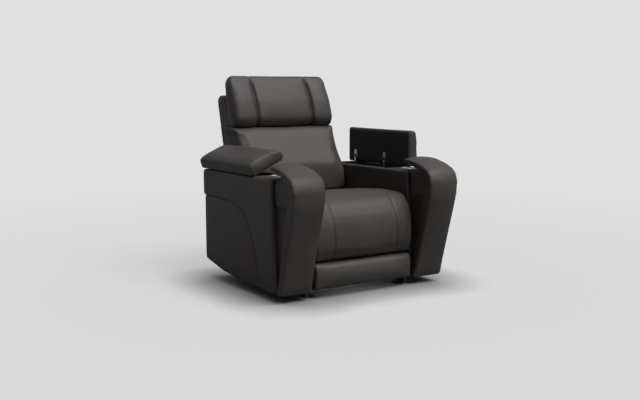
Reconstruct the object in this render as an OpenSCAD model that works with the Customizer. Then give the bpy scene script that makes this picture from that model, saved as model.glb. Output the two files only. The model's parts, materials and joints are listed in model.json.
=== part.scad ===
// Cinema recliner seat with storage arms, a power leg rest, a reclining back
// that draws the seat forward as it drops, and a tilting headrest.
// X runs across the seat, Y from its front to its back, and Z up from the floor.
// The origin is on the floor, in the middle of the four floor anchors.

/* [Overall] */
// Width over both arms
overall_w = 990; // [950:5:1060]
// Width of one arm
arm_w = 178; // [170:1:190]
// Height of the arm top
arm_h = 588; // [576:1:604]
// Length of an arm box at its foot
arm_len = 734; // [728:1:760]

/* [Lids] */
// Thickness of a lid, board and padding together
lid_t = 56; // [48:1:62]
// Length of a lid
lid_len = 574; // [560:1:590]
// How far the left lid stands open
lid_left_open = 25; // [0:1:60]
// How far the right lid stands open
lid_right_open = 90; // [60:1:90]

/* [Cup holders and bins] */
// Radius of the cup bore
cup_r = 38.5; // [34:0.5:39]
// Depth of the cup bore
cup_deep = 70; // [55:1:90]
// Depth of a storage bin
bin_deep = 150; // [90:1:200]

/* [Seat and back] */
// Radius of the soft roll at the front of the seat
roll_r = 100; // [98:0.5:102]
// Room for the slides between an arm and the seat pads
pad_room = 41; // [41:1:46]
// Room between an arm and the outer back
back_room = 13; // [9:1:17]
// Room between an arm and the headrest
head_room = 8; // [5:1:14]

/* [Motion] */
// Swing of the leg rest
leg_swing = 86; // [60:1:88]
// Recline of the back
recline = 40; // [25:1:42]
// Forward glide of the seat at full recline
glide = 110; // [80:1:115]

/* [Hidden] */

// Seating gap between pieces that lie against each other
gap = 0.3;
// Radial play of a running fit
run = 0.05;
// Overrun of every cut
over = 2;
// Colours
LEATHER = [0.20, 0.19, 0.18];
DARK = [0.10, 0.10, 0.10];
STEEL = [0.62, 0.63, 0.65];
PAINT = [0.16, 0.16, 0.17];
WOOD = [0.72, 0.58, 0.40];

// Arms: faces, and the front edge at the foot
half_w = overall_w / 2;
arm_in = half_w - arm_w;
pad_half = arm_in - pad_room;
back_half = arm_in - back_room;
head_half = arm_in - head_room;
arm_front = -348;
arm_rear = arm_front + arm_len;
arm_box = [arm_len, arm_h];
arm_at = [arm_front, 0];
// Depth that the outer leather steps in below the side seam
welt_step = 7;
// Leather and foam over the plywood, inner and outer side
arm_pad_in = 8;
arm_pad_out = 12;
core_ply = 12;
// Radius of the long top edges of an arm
arm_edge = 24;
arm_edge_share = 0.5;
// Side outline of an arm box, as shares of its length and height
arm_outline_shares = [
    [0, 0.077, 0.02], [0.392, 0.079, 0.5], [0.747, 0.116, 0.4], [0.989, 0.180, 0.03],
    [0.992, 0.762, 0], [1.004, 0.772, 0.02], [1.002, 0.978, 0.03], [0.041, 1, 0.02]
];
// Seam that swings down from the rear of the side to its front foot
seam_shares = [
    [1.1, 0.7645, 0], [0.733, 0.765, 0.5], [0.571, 0.748, 0.3], [0.488, 0.726, 0.2],
    [0.420, 0.690, 0.2], [0.364, 0.622, 0.2], [0.324, 0.548, 0.3], [0.294, 0.469, 0.3],
    [0.238, 0.294, 0.3], [0.202, 0.170, 0.3], [0.161, 0.068, 0], [0.079, -0.1, 0]
];
// Half the groove between the side panel and the leather round it
seam_groove = 1.5;
// How far the side panel stays behind the outer leather
panel_in = 1;
// Plywood core, as shares of the arm's length and height
core_outline_shares = [
    [0.035, 0.107, 0], [0.72, 0.15, 0], [0.965, 0.24, 0], [0.985, 0.962, 0], [0.065, 0.962, 0]
];
core_hollow_shares = [
    [0.085, 0.150, 0], [0.70, 0.19, 0], [0.935, 0.29, 0], [0.9675, 0.7, 0], [0.9675, 1.1, 0],
    [0.095, 1.1, 0]
];

// Front band: a padded strip that climbs the arm's front and hooks back over its top
band_at = [-514, 0];
band_box = [252, 663];
band_outline_shares = [
    [0.512, 0.065, 0.018], [0.642, 0.065, 0.012], [0.206, 0.800, 0.08], [0.285, 0.880, 0.12],
    [0.452, 0.928, 0.15], [0.73, 0.966, 0.15], [0.998, 0.980, 0.008], [0.996, 1, 0.008],
    [0.75, 0.991, 0.3], [0.365, 0.971, 0.3], [0.075, 0.915, 0.11], [0, 0.830, 0.10]
];
band_edge = 13;
band_edge_deep = 4.4;
// Gusset between the arm box and the band, set in from both faces
gusset_in = 22;
gusset_gap = 0.6;
gusset_shares = [[0.6345, 0.080, 0], [0.659, 0.080, 0], [0.776, 0.884, 0]];
// Padded patch high on each side of the gusset
patch_shares = [[0.30, 0.69, 0.02], [0.66, 0.70, 0.02], [0.70, 0.85, 0.02], [0.30, 0.85, 0.03]];
patch_t = 10;

// Storage bin
bin_wall = 3;
bin_gap = 1;
bin_in = arm_in + arm_pad_in + core_ply + bin_gap;
bin_out = half_w - arm_pad_out - core_ply - bin_gap;
bin_front_share = 0.30;
bin_rear_share = 0.9639;
bin_y0 = arm_front + bin_front_share * arm_len;
bin_y1 = arm_front + bin_rear_share * arm_len;
bin_lip = 3;
lip_t = 1.2;
corner_r = 4;

// Cup holder
cup_share = 0.177;
cup_shift = 2;
cup_x = half_w - arm_w / 2 - cup_shift;
cup_y = arm_front + cup_share * arm_len;
cup_wall = 1.5;
cup_lip = 6;
cup_lip_t = 4;

// Lids: hinge line near the outer edge, lid body over the arm top
lid_gap = 5;
lid_low = arm_h + lid_gap;
hinge_in = 13;
hinge_up = 14;
hinge_x = half_w - hinge_in;
hinge_z = lid_low + hinge_up;
lid_over_out = 5;
lid_set_in = 5;
lid_x0 = arm_in - lid_set_in;
lid_x1 = half_w + lid_over_out;
lid_front_share = 0.267;
lid_y0 = arm_front + lid_front_share * arm_len;
lid_y1 = lid_y0 + lid_len;
lid_edge = 15;
lid_edge_share = 0.18;
lid_crown = 9;
board_t = 9;
board_in = 9;
hinge_share = 0.39;
hinge_rear_share = 0.8676;
hinge_ys = [lid_y0 + hinge_share * lid_len, lid_y0 + hinge_rear_share * lid_len];
pin_r = 4;
eye_r = 7;
leaf_t = 5;
leaf_w = 16;
leaf_drop = 60;
leaf_half = 6;
// How far pieces of one solid reach into each other
weld = 1;
leaf_x1 = bin_out - bin_wall - gap;
ear_t = 3;
ear_gap = 2;
pocket_in = 24;
pocket_out = 12;
pocket_up = 10;
flange_t = 2.5;
flange_len = 26;

// Base: C rails on anchor feet, flat crossbars below them
rail_low = 100;
rail_h = 38;
rail_t = 3;
rail_w = 24.7;
rail_x1 = arm_in - gap;
rail_x0 = rail_x1 - rail_w;
roller_in = 4;
rail_y0 = -340;
rail_y1 = 384;
rail_mid = rail_low + rail_h / 2;
foot_y = 300;
foot_t = 5;
foot_half = 30;
foot_reach = 36;
foot_wall = 22;
anchor_r = 5.5;
anchor_in = 44.7;
anchor_x = rail_x1 - anchor_in;
bar_t = 8;
bar_w = 50;
bar_front = -243;
bar_rear = 243;
bolt_r = 4;
bolt_head_r = 7;
bolt_head_t = 5;
bolt_share = [0.11, 0.33, 0.50, 0.68];
valance_t = 8;
valance_h = 206;
valance_in = 5;

// Seat carriage
plate_t = 4;
plate_room = 9.5;
plate_x0 = pad_half + plate_room;
plate_x1 = plate_x0 + plate_t;
roller_r = rail_h / 2 - rail_t - gap;
roller_w = 8;
roller_x0 = rail_x0 + roller_in;
roller_ys = [-180, 180];
roller_pin_r = 5;
tube_r = 11;
tube_y = 180;
tube_z = 180;
plate_at = [-320, 0];
plate_box = [612, 460];
plate_outline_shares = [
    [0.170, 0.226, 0.02], [0.280, 0.226, 0.02], [0.310, 0.54, 0.08], [0.720, 0.54, 0.08],
    [0.750, 0.226, 0.02], [0.865, 0.226, 0.02], [0.880, 0.62, 0.1], [0.998, 0.86, 0.05],
    [0.998, 0.99, 0.05], [0.915, 0.99, 0.05], [0.880, 0.912, 0.03], [0.06, 0.915, 0.03],
    [0.003, 0.915, 0.035], [0.003, 0.825, 0.035], [0.145, 0.65, 0.1]
];
lighten_shares = [[0.40, 0.66], [0.52, 0.66], [0.64, 0.66], [0.76, 0.66]];
lighten_r = 20;

// Pivots of the leg rest: H on the side plate, Q for the drive tube, and the
// parallelogram H, Q, T, S that turns the leg rest with the drive tube
leg_pivot = [-295, 400];
drive_pivot = [-95, 330];
crank = [15, -100];
leg_pin_r = 5;
drive_r = 14;
rod_t = 3;
rod_half = 9;
crank_half = 11;
rod_gap = 1;
crank_gap = 1.5;
rod_x0 = pad_half + rod_gap;
bracket_x0 = rod_x0 + rod_t + rod_gap;
crank_x0 = rod_x0 - rod_t - crank_gap;
ear_arm = 70;
ear_turn = leg_swing / 2;
ear_pin_r = 6;
ear_half = 5;
ear_from = [drive_pivot[0] + ear_arm * sin(ear_turn), drive_pivot[1] - ear_arm * cos(ear_turn)];

// Seat frame, springs and cushion
frame_low = 372;
frame_h = 32;
frame_y0 = -222;
frame_y1 = 170;
frame_wall = 24;
spring_r = 2;
spring_n = 5;
spring_pitch_share = 0.3365;
spring_pitch = spring_pitch_share * (plate_x0 - frame_wall);
spring_bends = 9;
spring_swing = 24;
spring_room = 1;
cushion_low = frame_low + frame_h + 2 * spring_r + spring_room;
seat_top = 500;
seat_rear = 230;
soft_edge = 7;
seam_share = 0.6884;
seam_at = seam_share * pad_half;
seam_wide = 14;
seam_dip = 3;
seat_crown = 5;
seat_hook = 4;
// Steps from the seat's reference height, and radii of the top's corners
seat_rear_drop = 10;
seat_rear_r = 24;
seat_back_drop = 6;
seat_back_r = 150;
seat_mid_drop = 3;
seat_front_rise = 1;
seat_front_r = 200;
under_share = 0.55;
roll_gap = 1;
board_leg_t = 18;
leg_pad_t = 59;
leg_board_z0 = 62;
leg_board_z1 = 292;
chaise_low = 178;
foot_low = 36;
foot_high = 172;
foot_in = 4;
leg_bulge = 7;

// Back rest: hinge R on the side plate, cam pin K below it
back_pivot = [265, 430];
cam_arm = 110;
cam_pin_r = 6;
cam_play = 0.5;
cam_t = 4;
cam_in = 9;
cam_wall = 13;
cam_steps = 12;
back_pin_r = 6;
back_x0 = rod_x0;
cam_x0 = back_x0 - cam_in;
rake_share = 0.241;
back_z0 = 460;
back_z1 = 974;
back_front = 386;
back_zero = 450;
back_thick = 97;
shell_wall = 18;
shell_edge = 14;
shell_r = 22;
shell_open = 20;
shell_under = 40;
cavity_top = 798;
shell_front = 14;
post_in = shell_front + gap;
post_deep = 40;
post_w = 26;
post_x1 = back_x0 - gap;
frame_top = 945;
back_rail_h = 32;
rail_up = 8;
back_rails = [470, 770, 905];
lumbar_room = 11;
lumbar_half = arm_in - lumbar_room;
lumbar_edge = 12;
lumbar_in = 8;
lumbar_rear_top = 745;
lumbar_top_in = 30;
lumbar_face = 214;
lumbar_deep = 154;
// Front of the lumbar cushion: shares of its depth, height and radius
lumbar_shares = [[0.99, 1, 0.1], [0.68, 0.735, 0.45], [0.38, 0.43, 0.45], [0.08, 0.205, 0.22]];
lumbar_low = 498;
lumbar_crown = 4;
lumbar_sink = 0.8 * lumbar_crown;
lumbar_high = 773;

// Headrest
head_pivot = [452, 790];
head_pin_r = 4;
lug_t = 4;
lug_r = 10;
lug_long = 50;
cheek_t = 3;
cheek_x0 = back_x0 - cheek_t - crank_gap;
head_plate_y = 462.4;
head_groove_share = 0.5696;
head_groove = head_groove_share * head_half;
head_crown = 5;
head_seam_wide = 16;
head_rise = 12;
head_plate_h = 120;
head_lean_share = 0.152;
cheek_half = 8;
cheek_up = 30;
head_dip = 9;
head_plate_t = 3;

// Control plate on the inner face of the left arm
control_y = -120;
control_z = 540;
control_len = 124;
control_h = 44;
control_t = 2.5;
button_r = 9;
button_pitch = 28;
button_up = 2;
button_deep = 6;
button_travel = 1.5;

// Points of a table of shares laid out from a corner at a size
function spots(o, s, t) = [for (p = t) [o[0] + p[0] * s[0], o[1] + p[1] * s[1], p[2] * s[1]]];
function unit(v) = v / norm(v);
function flat(p) = [p[0], p[1]];

// Arc that rounds corner b between a and c, limited by the two edges
function corner(a, b, c, n) =
    let (u = unit(flat(a) - flat(b)))
    let (v = unit(flat(c) - flat(b)))
    let (half = acos(u * v) / 2)
    let (room = 0.45 * min(norm(flat(a) - flat(b)), norm(flat(c) - flat(b))))
    let (reach = min(b[2] / tan(half), room))
    let (r = reach * tan(half))
    let (m = flat(b) + unit(u + v) * r / sin(half))
    let (p = flat(b) + u * reach - m)
    let (q = flat(b) + v * reach - m)
    let (from = atan2(p[1], p[0]))
    let (turn = (atan2(q[1], q[0]) - from + 540) % 360 - 180)
    b[2] <= 0 ? [flat(b)] : [for (i = [0 : n]) m + r * [cos(from + turn * i / n),
        sin(from + turn * i / n)]];

function rounded(t, n = 4) =
    let (k = len(t))
    [for (i = [0 : k - 1]) each corner(t[(i + k - 1) % k], t[i], t[(i + 1) % k], n)];

// Outline moved inward by d
function inward(t, d) =
    let (k = len(t))
    [for (i = [0 : k - 1])
        let (run_on = unit(t[(i + 1) % k] - t[(i + k - 1) % k]))
        t[i] + d * [-run_on[1], run_on[0]]];

function arc(m, r, from, to, n) =
    [for (i = [0 : n]) let (a = from + (to - from) * i / n) [m[0] + r * cos(a), m[1] + r * sin(a), 0]];

// A side outline in Y and Z, carried along X
module slab(t, x0, x1) {
    translate([x0, 0, 0])
        rotate([90, 0, 90])
            linear_extrude(x1 - x0)
                polygon(t);
}

// An outline in X and Z, carried along Y
module beam(t, y0, y1) {
    translate([0, y1, 0])
        rotate([90, 0, 0])
            linear_extrude(y1 - y0)
                polygon(t);
}

module block(lo, hi) {
    translate(lo)
        cube(hi - lo);
}

module rod_x(r, x0, x1, at) {
    translate([x0, at[0], at[1]])
        rotate([0, 90, 0])
            cylinder(r = r, h = x1 - x0, $fn = 48);
}

module rod_y(r, y0, y1, at) {
    translate([at[0], y0, at[1]])
        rotate([-90, 0, 0])
            cylinder(r = r, h = y1 - y0, $fn = 48);
}

module on_side(side) {
    if (side > 0) {
        children();
    } else {
        mirror([1, 0, 0])
            children();
    }
}

// Triangles of a flat outline, cut off ear by ear
function bend(a, b, c) = (b[0] - a[0]) * (c[1] - a[1]) - (b[1] - a[1]) * (c[0] - a[0]);
function covered(p, a, b, c) = bend(a, b, p) >= 0 && bend(b, c, p) >= 0 && bend(c, a, p) >= 0;
function near(left, i) = let (m = len(left)) [left[(i + m - 1) % m], left[i], left[(i + 1) % m]];
function is_ear(t, left, e) =
    bend(t[e[0]], t[e[1]], t[e[2]]) > 0
    && len([for (j = left) if (j != e[0] && j != e[1] && j != e[2] && covered(t[j], t[e[0]], t[e[1]],
        t[e[2]])) j]) == 0;
function next_ear(t, left, i) = i >= len(left) - 1 || is_ear(t, left, near(left, i)) ? i : next_ear(t,
    left, i + 1);
function ears(t, left, done = []) =
    len(left) < 4 ? concat(done, [left]) :
    let (i = next_ear(t, left, 0))
    ears(t, [for (j = [0 : len(left) - 1]) if (j != i) left[j]], concat(done, [near(left, i)]));

// Closed soft form: one outline at each station [x, inset]
module loft(t, stations) {
    k = len(t);
    n = len(stations);
    points = [for (s = stations) each [for (p = inward(t, s[1])) [s[0], p[0], p[1]]]];
    sides = [for (j = [0 : n - 2]) for (i = [0 : k - 1])
        let (a = j * k + i)
        let (b = j * k + (i + 1) % k)
        each [[a, b + k, b], [a, a + k, b + k]]];
    first = inward(t, stations[0][1]);
    cap = ears(first, [for (i = [0 : k - 1]) i]);
    far_cap = [for (c = cap) [for (i = [len(c) - 1 : -1 : 0]) (n - 1) * k + c[i]]];
    polyhedron(points = points, faces = concat(cap, far_cap, sides), convexity = 6);
}

// Inset of a soft form at x: a rounded edge, a crown across, and sewn channels
edge_shares = [0, 0.08, 0.3, 0.62, 1];
function edge_inset(e, r) = e >= r ? 0 : r - sqrt(r * r - (r - e) * (r - e));
function soft_inset(x, half, r, crown, seam, dip, wide) =
    edge_inset(half - abs(x), r) + crown * pow(abs(x) / half, 2)
    + dip * max(0, 1 - abs(abs(x) - seam) / wide);
function half_stations(half, r, seam, wide) =
    concat([0, seam * 0.5], [for (s = [-1, -0.5, 0, 0.5, 1]) seam + s * wide],
        [for (i = [len(edge_shares) - 1 : -1 : 0]) half - edge_shares[i] * r]);
function soft_stations(half, r, crown, seam, dip, wide) =
    let (right = half_stations(half, r, seam, wide))
    let (all = concat([for (i = [len(right) - 1 : -1 : 1]) -right[i]], right))
    [for (x = all) [x, soft_inset(x, half, r, crown, seam, dip, wide)]];
function plain_stations(x0, x1, r, deep) =
    let (ends = [for (e = edge_shares) [e * r, deep * edge_inset(e, 1)]])
    concat([for (e = ends) [x0 + e[0], e[1]]],
        [for (i = [len(ends) - 1 : -1 : 0]) [x1 - ends[i][0], ends[i][1]]]);

arm_outline = rounded(spots(arm_at, arm_box, arm_outline_shares), 5);
seam_line = rounded(spots(arm_at, arm_box, seam_shares), 3);

// The region that lies above and before the side seam, moved off it by d
module above_seam(d, x0, x1) {
    low = [for (p = seam_line) p + [-d, d]];
    far = [[arm_front - arm_len, low[len(low) - 1][1]], [arm_front - arm_len, 2 * arm_h],
        [low[0][0], 2 * arm_h]];
    slab(concat(low, far), x0, x1);
}

// Cross section of an arm: long edges rounded at the top
module arm_section(x1) {
    side = [
        [arm_in, -over, 0], [x1, -over, 0], [x1, arm_h, arm_edge],
            [arm_in, arm_h, arm_edge_share * arm_edge]
    ];
    beam(rounded(side, 5), arm_front - arm_len, arm_rear + arm_len);
}

module arm_pockets() {
    block([bin_in - gap, bin_y0 - gap, arm_h - bin_deep - gap],
        [bin_out + gap, bin_y1 + gap, arm_h + over]);
    translate([cup_x, cup_y, arm_h - cup_deep - cup_wall - gap])
        cylinder(r = cup_r + cup_wall + gap, h = cup_deep + cup_wall + gap + over, $fn = 64);
}

module bolt_places() {
    for (share = bolt_share)
        translate([0, arm_front + share * arm_len, rail_mid])
            children();
}

module bolt_holes() {
    bolt_places()
        rod_x(bolt_r + gap, rail_x0, bin_in + bolt_head_t + over, [0, 0]);
}

module arm_core(side) {
    color(WOOD)
        on_side(side)
            difference() {
                slab(spots_flat(core_outline_shares), arm_in + arm_pad_in, half_w - arm_pad_out);
                slab(spots_flat(core_hollow_shares), arm_in + arm_pad_in + core_ply,
                    half_w - arm_pad_out - core_ply);
                bolt_holes();
            }
}
function spots_flat(t) = [for (p = spots(arm_at, arm_box, t)) flat(p)];

// Padded leather box of the arm, open below, round the plywood core
module arm_shell(side) {
    color(LEATHER)
        on_side(side)
            difference() {
                intersection() {
                    slab(arm_outline, arm_in, half_w);
                    arm_section(half_w);
                    union() {
                        slab(arm_outline, arm_in - over, half_w - welt_step);
                        above_seam(seam_groove, half_w - welt_step - over, half_w + over);
                    }
                }
                slab(core_room(), arm_in + arm_pad_in - gap, half_w - arm_pad_out + gap);
                arm_pockets();
                bolt_holes();
                if (side < 0) {
                    control_pocket();
                }
            }
}
function core_room() =
    let (t = spots_flat(core_outline_shares))
    [t[0] + [-gap, -arm_h], t[2] + [gap, -arm_h], t[3] + [gap, gap], t[4] + [-gap, gap], t[0] + [-gap, 0]];

module control_pocket() {
    y0 = control_y - control_len / 2 + button_r / 2;
    translate([arm_in - over, y0, control_z - control_h / 2 + button_r / 2])
        cube([arm_pad_in + over - gap, control_len - button_r, control_h - button_r]);
}

// Lower side panel inside the swinging seam
module side_panel(side) {
    color(LEATHER)
        on_side(side)
            difference() {
                slab(inward(arm_outline, seam_groove), half_w - welt_step + gap, half_w - panel_in);
                above_seam(-seam_groove, half_w - welt_step - over, half_w + over);
            }
}

module front_band(side) {
    outline = rounded(spots(band_at, band_box, band_outline_shares), 4);
    color(LEATHER)
        on_side(side)
            loft(outline, plain_stations(arm_in, half_w, band_edge, band_edge_deep));
}

module gusset(side) {
    t = spots(band_at, band_box, band_outline_shares);
    inner = concat(corner(t[1], t[2], t[3], 4), corner(t[2], t[3], t[4], 4));
    body = [for (p = spots(band_at, band_box, gusset_shares)) flat(p)];
    outline = concat(body, [for (i = [len(inner) - 1 : -1 : 0]) inner[i] + [gusset_gap, 0]]);
    patch = rounded(spots(band_at, band_box, patch_shares), 3);
    color(DARK)
        on_side(side) {
            slab(outline, arm_in + gusset_in, half_w - gusset_in);
            slab(patch, arm_in + gusset_in - patch_t, arm_in + gusset_in);
            slab(patch, half_w - gusset_in, half_w - gusset_in + patch_t);
        }
}

module storage_bin(side) {
    floor_z = arm_h - bin_deep;
    color(DARK)
        on_side(side)
            difference() {
                union() {
                    block([bin_in, bin_y0, floor_z], [bin_out, bin_y1, arm_h + lip_t / 2]);
                    block([bin_in - bin_lip, bin_y0 - bin_lip, arm_h + gap],
                        [bin_out + bin_lip, bin_y1 + bin_lip, arm_h + lip_t]);
                }
                bin_hollow(floor_z + bin_wall);
            }
}

module bin_hollow(low) {
    t = [[bin_in + bin_wall, bin_y0 + bin_wall, corner_r],
        [bin_out - bin_wall, bin_y0 + bin_wall, corner_r],
        [bin_out - bin_wall, bin_y1 - bin_wall, corner_r],
            [bin_in + bin_wall, bin_y1 - bin_wall, corner_r]];
    translate([0, 0, low])
        linear_extrude(bin_deep + lip_t + over)
            polygon(rounded(t, 4));
}

module cup_holder(side) {
    deep = arm_h - cup_deep;
    profile = [
        [0, deep - cup_wall], [cup_r + cup_wall, deep - cup_wall], [cup_r + cup_wall, arm_h + gap],
        [cup_r + cup_lip, arm_h + gap], [cup_r + cup_lip, arm_h + cup_lip_t / 2],
        [cup_r + cup_lip - cup_lip_t / 2, arm_h + cup_lip_t], [cup_r, arm_h + cup_lip_t],
        [cup_r, deep], [0, deep]
    ];
    color("silver")
        on_side(side)
            translate([cup_x, cup_y, 0])
                rotate_extrude($fn = 96)
                    polygon(profile);
}

// Lids are drawn closed and turned to where they stand
function lid_open(side) = side > 0 ? lid_right_open : lid_left_open;
module lid_pose(side) {
    on_side(side)
        translate([hinge_x, 0, hinge_z])
            rotate([0, lid_open(side), 0])
                translate([-hinge_x, 0, -hinge_z])
                    children();
}

module hinge_pockets() {
    for (y = hinge_ys)
        translate([0, y, 0])
            block([hinge_x - pocket_in, -leaf_w / 2 - ear_gap - ear_t - gap, lid_low - over],
                [hinge_x + pocket_out, leaf_w / 2 + ear_gap + ear_t + gap, hinge_z + pocket_up]);
}

module lid_board(side) {
    color(DARK)
        lid_pose(side)
            difference() {
                block([lid_x0 + board_in, lid_y0 + board_in, lid_low],
                    [lid_x1 - board_in, lid_y1 - board_in, lid_low + board_t]);
                hinge_pockets();
            }
}

module lid_pad(side) {
    high = lid_low + lid_t;
    mid = (lid_x0 + lid_x1) / 2;
    section = rounded([[lid_x0, lid_low, 0.2 * lid_t], [lid_x1, lid_low, 0.2 * lid_t],
        [lid_x1, high - lid_crown, 0.35 * lid_t], [mid, high, 4 * lid_t],
        [lid_x0, high - lid_crown, 0.35 * lid_t]], 4);
    color(LEATHER)
        lid_pose(side)
            difference() {
                rotate([0, 0, -90])
                    loft(section, plain_stations(-lid_y1, -lid_y0, lid_edge, lid_edge_share * lid_t));
                block([lid_x0 + board_in - gap, lid_y0 + board_in - gap, lid_low - over],
                    [lid_x1 - board_in + gap, lid_y1 - board_in + gap, lid_low + board_t + gap]);
                hinge_pockets();
            }
}

// Goose-neck leaf on the bin wall, with the pin that the lid turns on
module lid_hinge_leaf(side) {
    color(STEEL)
        on_side(side)
            for (y = hinge_ys)
                translate([0, y, 0]) {
                    block([leaf_x1 - leaf_t, -leaf_w / 2, hinge_z - leaf_drop],
                        [leaf_x1, leaf_w / 2, hinge_z + leaf_half]);
                    block([leaf_x1 - leaf_t, -leaf_w / 2, hinge_z - leaf_half],
                        [hinge_x, leaf_w / 2, hinge_z + leaf_half]);
                    rod_y(eye_r, -leaf_w / 2, leaf_w / 2, [hinge_x, hinge_z]);
                    rod_y(pin_r, -leaf_w / 2 - ear_gap - ear_t, leaf_w / 2 + ear_gap + ear_t,
                        [hinge_x, hinge_z]);
                }
}

module lid_hinge_cup(side) {
    far = hinge_x - pocket_in;
    wide = leaf_w / 2 + ear_gap;
    color(STEEL)
        lid_pose(side)
            for (y = hinge_ys)
                translate([0, y, 0]) {
                    for (s = [-1, 1])
                        difference() {
                            union() {
                                block([far + gap, min(s * wide, s * (wide + ear_t)), lid_low - flange_t],
                                    [hinge_x, max(s * wide, s * (wide + ear_t)), hinge_z + eye_r]);
                                rod_y(eye_r, min(s * wide, s * (wide + ear_t)),
                                    max(s * wide, s * (wide + ear_t)),
                                    [hinge_x, hinge_z]);
                            }
                            rod_y(pin_r + run, -2 * wide, 2 * wide, [hinge_x, hinge_z]);
                        }
                    block([far - flange_len, -wide - ear_t, lid_low - flange_t],
                        [far + gap + weld, wide + ear_t, lid_low]);
                }
}

// C rail, open inward, welded to two feet that are anchored to the floor
module base_rail(side) {
    color(PAINT)
        on_side(side)
            difference() {
                union() {
                    block([rail_x0, rail_y0, rail_low], [rail_x1, rail_y1, rail_low + rail_h]);
                    for (y = [-foot_y, foot_y]) {
                        block([rail_x1 - foot_wall, y - foot_half, foot_t / 2],
                            [rail_x1, y + foot_half, rail_low + rail_t / 2]);
                        block([rail_x0 - foot_reach, y - foot_half, 0], [rail_x1, y + foot_half, foot_t]);
                    }
                }
                block([rail_x0 - over, rail_y0 - over, rail_low + rail_t],
                    [rail_x1 - rail_t, rail_y1 + over, rail_low + rail_h - rail_t]);
                for (y = [-foot_y, foot_y])
                    translate([anchor_x, y, -over])
                        cylinder(r = anchor_r, h = foot_t + 2 * over, $fn = 32);
                bolt_holes();
            }
}

module base_crossbars() {
    color(PAINT)
        for (y = [bar_front, bar_rear])
            block([-rail_x1, y - bar_w / 2, rail_low - bar_t - gap],
                [rail_x1, y + bar_w / 2, rail_low - gap]);
}

module arm_bolts() {
    web = rail_x1 - rail_t;
    color(STEEL)
        for (side = [-1, 1])
            on_side(side)
                bolt_places() {
                    rod_x(bolt_r, web - bolt_head_t, arm_in + arm_pad_in + core_ply + bolt_head_t, [0, 0]);
                    translate([web - bolt_head_t - gap, 0, 0])
                        rotate([0, 90, 0])
                            cylinder(r = bolt_head_r, h = bolt_head_t, $fn = 6);
                }
}

module rear_valance() {
    color(DARK)
        block([-arm_in + valance_in, rail_y1 + gap, rail_low],
            [arm_in - valance_in, rail_y1 + gap + valance_t, rail_low + valance_h]);
}

// Path of the cam pin below the back hinge while the seat glides forward
function cam_spot(k) =
    let (a = recline * k)
    [back_pivot[0] - glide * k - cam_arm * sin(a), back_pivot[1] - cam_arm * cos(a)];
function cam_side(k) =
    let (d = unit(cam_spot(k + 0.01) - cam_spot(k - 0.01)))
    [-d[1], d[0]];
function cam_band(w) = concat(
    [for (i = [0 : cam_steps]) cam_spot(i / cam_steps) + w * cam_side(i / cam_steps)],
    [for (i = [cam_steps : -1 : 0]) cam_spot(i / cam_steps) - w * cam_side(i / cam_steps)]);

module recline_cam(side) {
    slot = cam_pin_r + cam_play;
    wide = slot + cam_wall;
    color(STEEL)
        on_side(side)
            difference() {
                union() {
                    slab(cam_band(wide), cam_x0, cam_x0 + cam_t);
                    for (k = [0, 1])
                        rod_x(wide, cam_x0, cam_x0 + cam_t, cam_spot(k));
                    block([cam_x0, bar_rear - bar_w / 2, rail_low],
                        [cam_x0 + cam_t, bar_rear + cam_wall, cam_spot(0)[1]]);
                }
                slab(cam_band(slot), cam_x0 - over, cam_x0 + cam_t + over);
                for (k = [0, 1])
                    rod_x(slot, cam_x0 - over, cam_x0 + cam_t + over, cam_spot(k));
            }
}

// Gear motor and slide rail that drive the seat along the base
recline_share = 0.41;
recline_x = recline_share * rail_x0;
recline_z = 150;
guide_r = 9;
motor_half = 34;
motor_len = 84;
motor_side_share = 2.6;
nut_wall = 6;
recline_nut_half = 20;
recline_front = 22;
module recline_actuator() {
    rear = bar_rear - bar_w / 2;
    color(PAINT) {
        block([recline_x - motor_half, rear, rail_low],
            [recline_x + motor_half, rear + motor_len, recline_z + motor_half]);
        rod_y(guide_r, recline_front, rear + over, [recline_x, recline_z]);
        rod_x(motor_half - over, recline_x + motor_half - over, recline_x + motor_side_share * motor_half,
            [rear + motor_len / 2, recline_z - over]);
    }
}

module recline_nut() {
    half = recline_nut_half;
    color(STEEL)
        difference() {
            union() {
                block([recline_x - half, tube_y - half, recline_z - half],
                    [recline_x + half, tube_y + half, tube_z]);
                rod_x(tube_r + nut_wall, recline_x - half, recline_x + half, [tube_y, tube_z]);
            }
            rod_y(guide_r + run, tube_y - 2 * half, tube_y + 2 * half, [recline_x, recline_z]);
            rod_x(tube_r + run, recline_x - 2 * half, recline_x + 2 * half, [tube_y, tube_z]);
        }
}

function button_y(i) = control_y + (i - 1.5) * button_pitch;
module control_plate() {
    t = rounded([[control_y - control_len / 2, control_z - control_h / 2, control_h / 3],
        [control_y + control_len / 2, control_z - control_h / 2, control_h / 3],
        [control_y + control_len / 2, control_z + control_h / 2, control_h / 3],
        [control_y - control_len / 2, control_z + control_h / 2, control_h / 3]], 6);
    color(DARK)
        mirror([1, 0, 0])
            difference() {
                slab(t, arm_in - control_t, arm_in - gap);
                for (i = [0 : 3])
                    rod_x(button_r + run, arm_in - control_t - over, arm_in + over,
                        [button_y(i), control_z]);
            }
}

module button(i) {
    color("gray")
        mirror([1, 0, 0]) {
            rod_x(button_r, arm_in - control_t - button_up, arm_in + button_deep - button_travel,
                [button_y(i), control_z]);
        }
}

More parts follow.
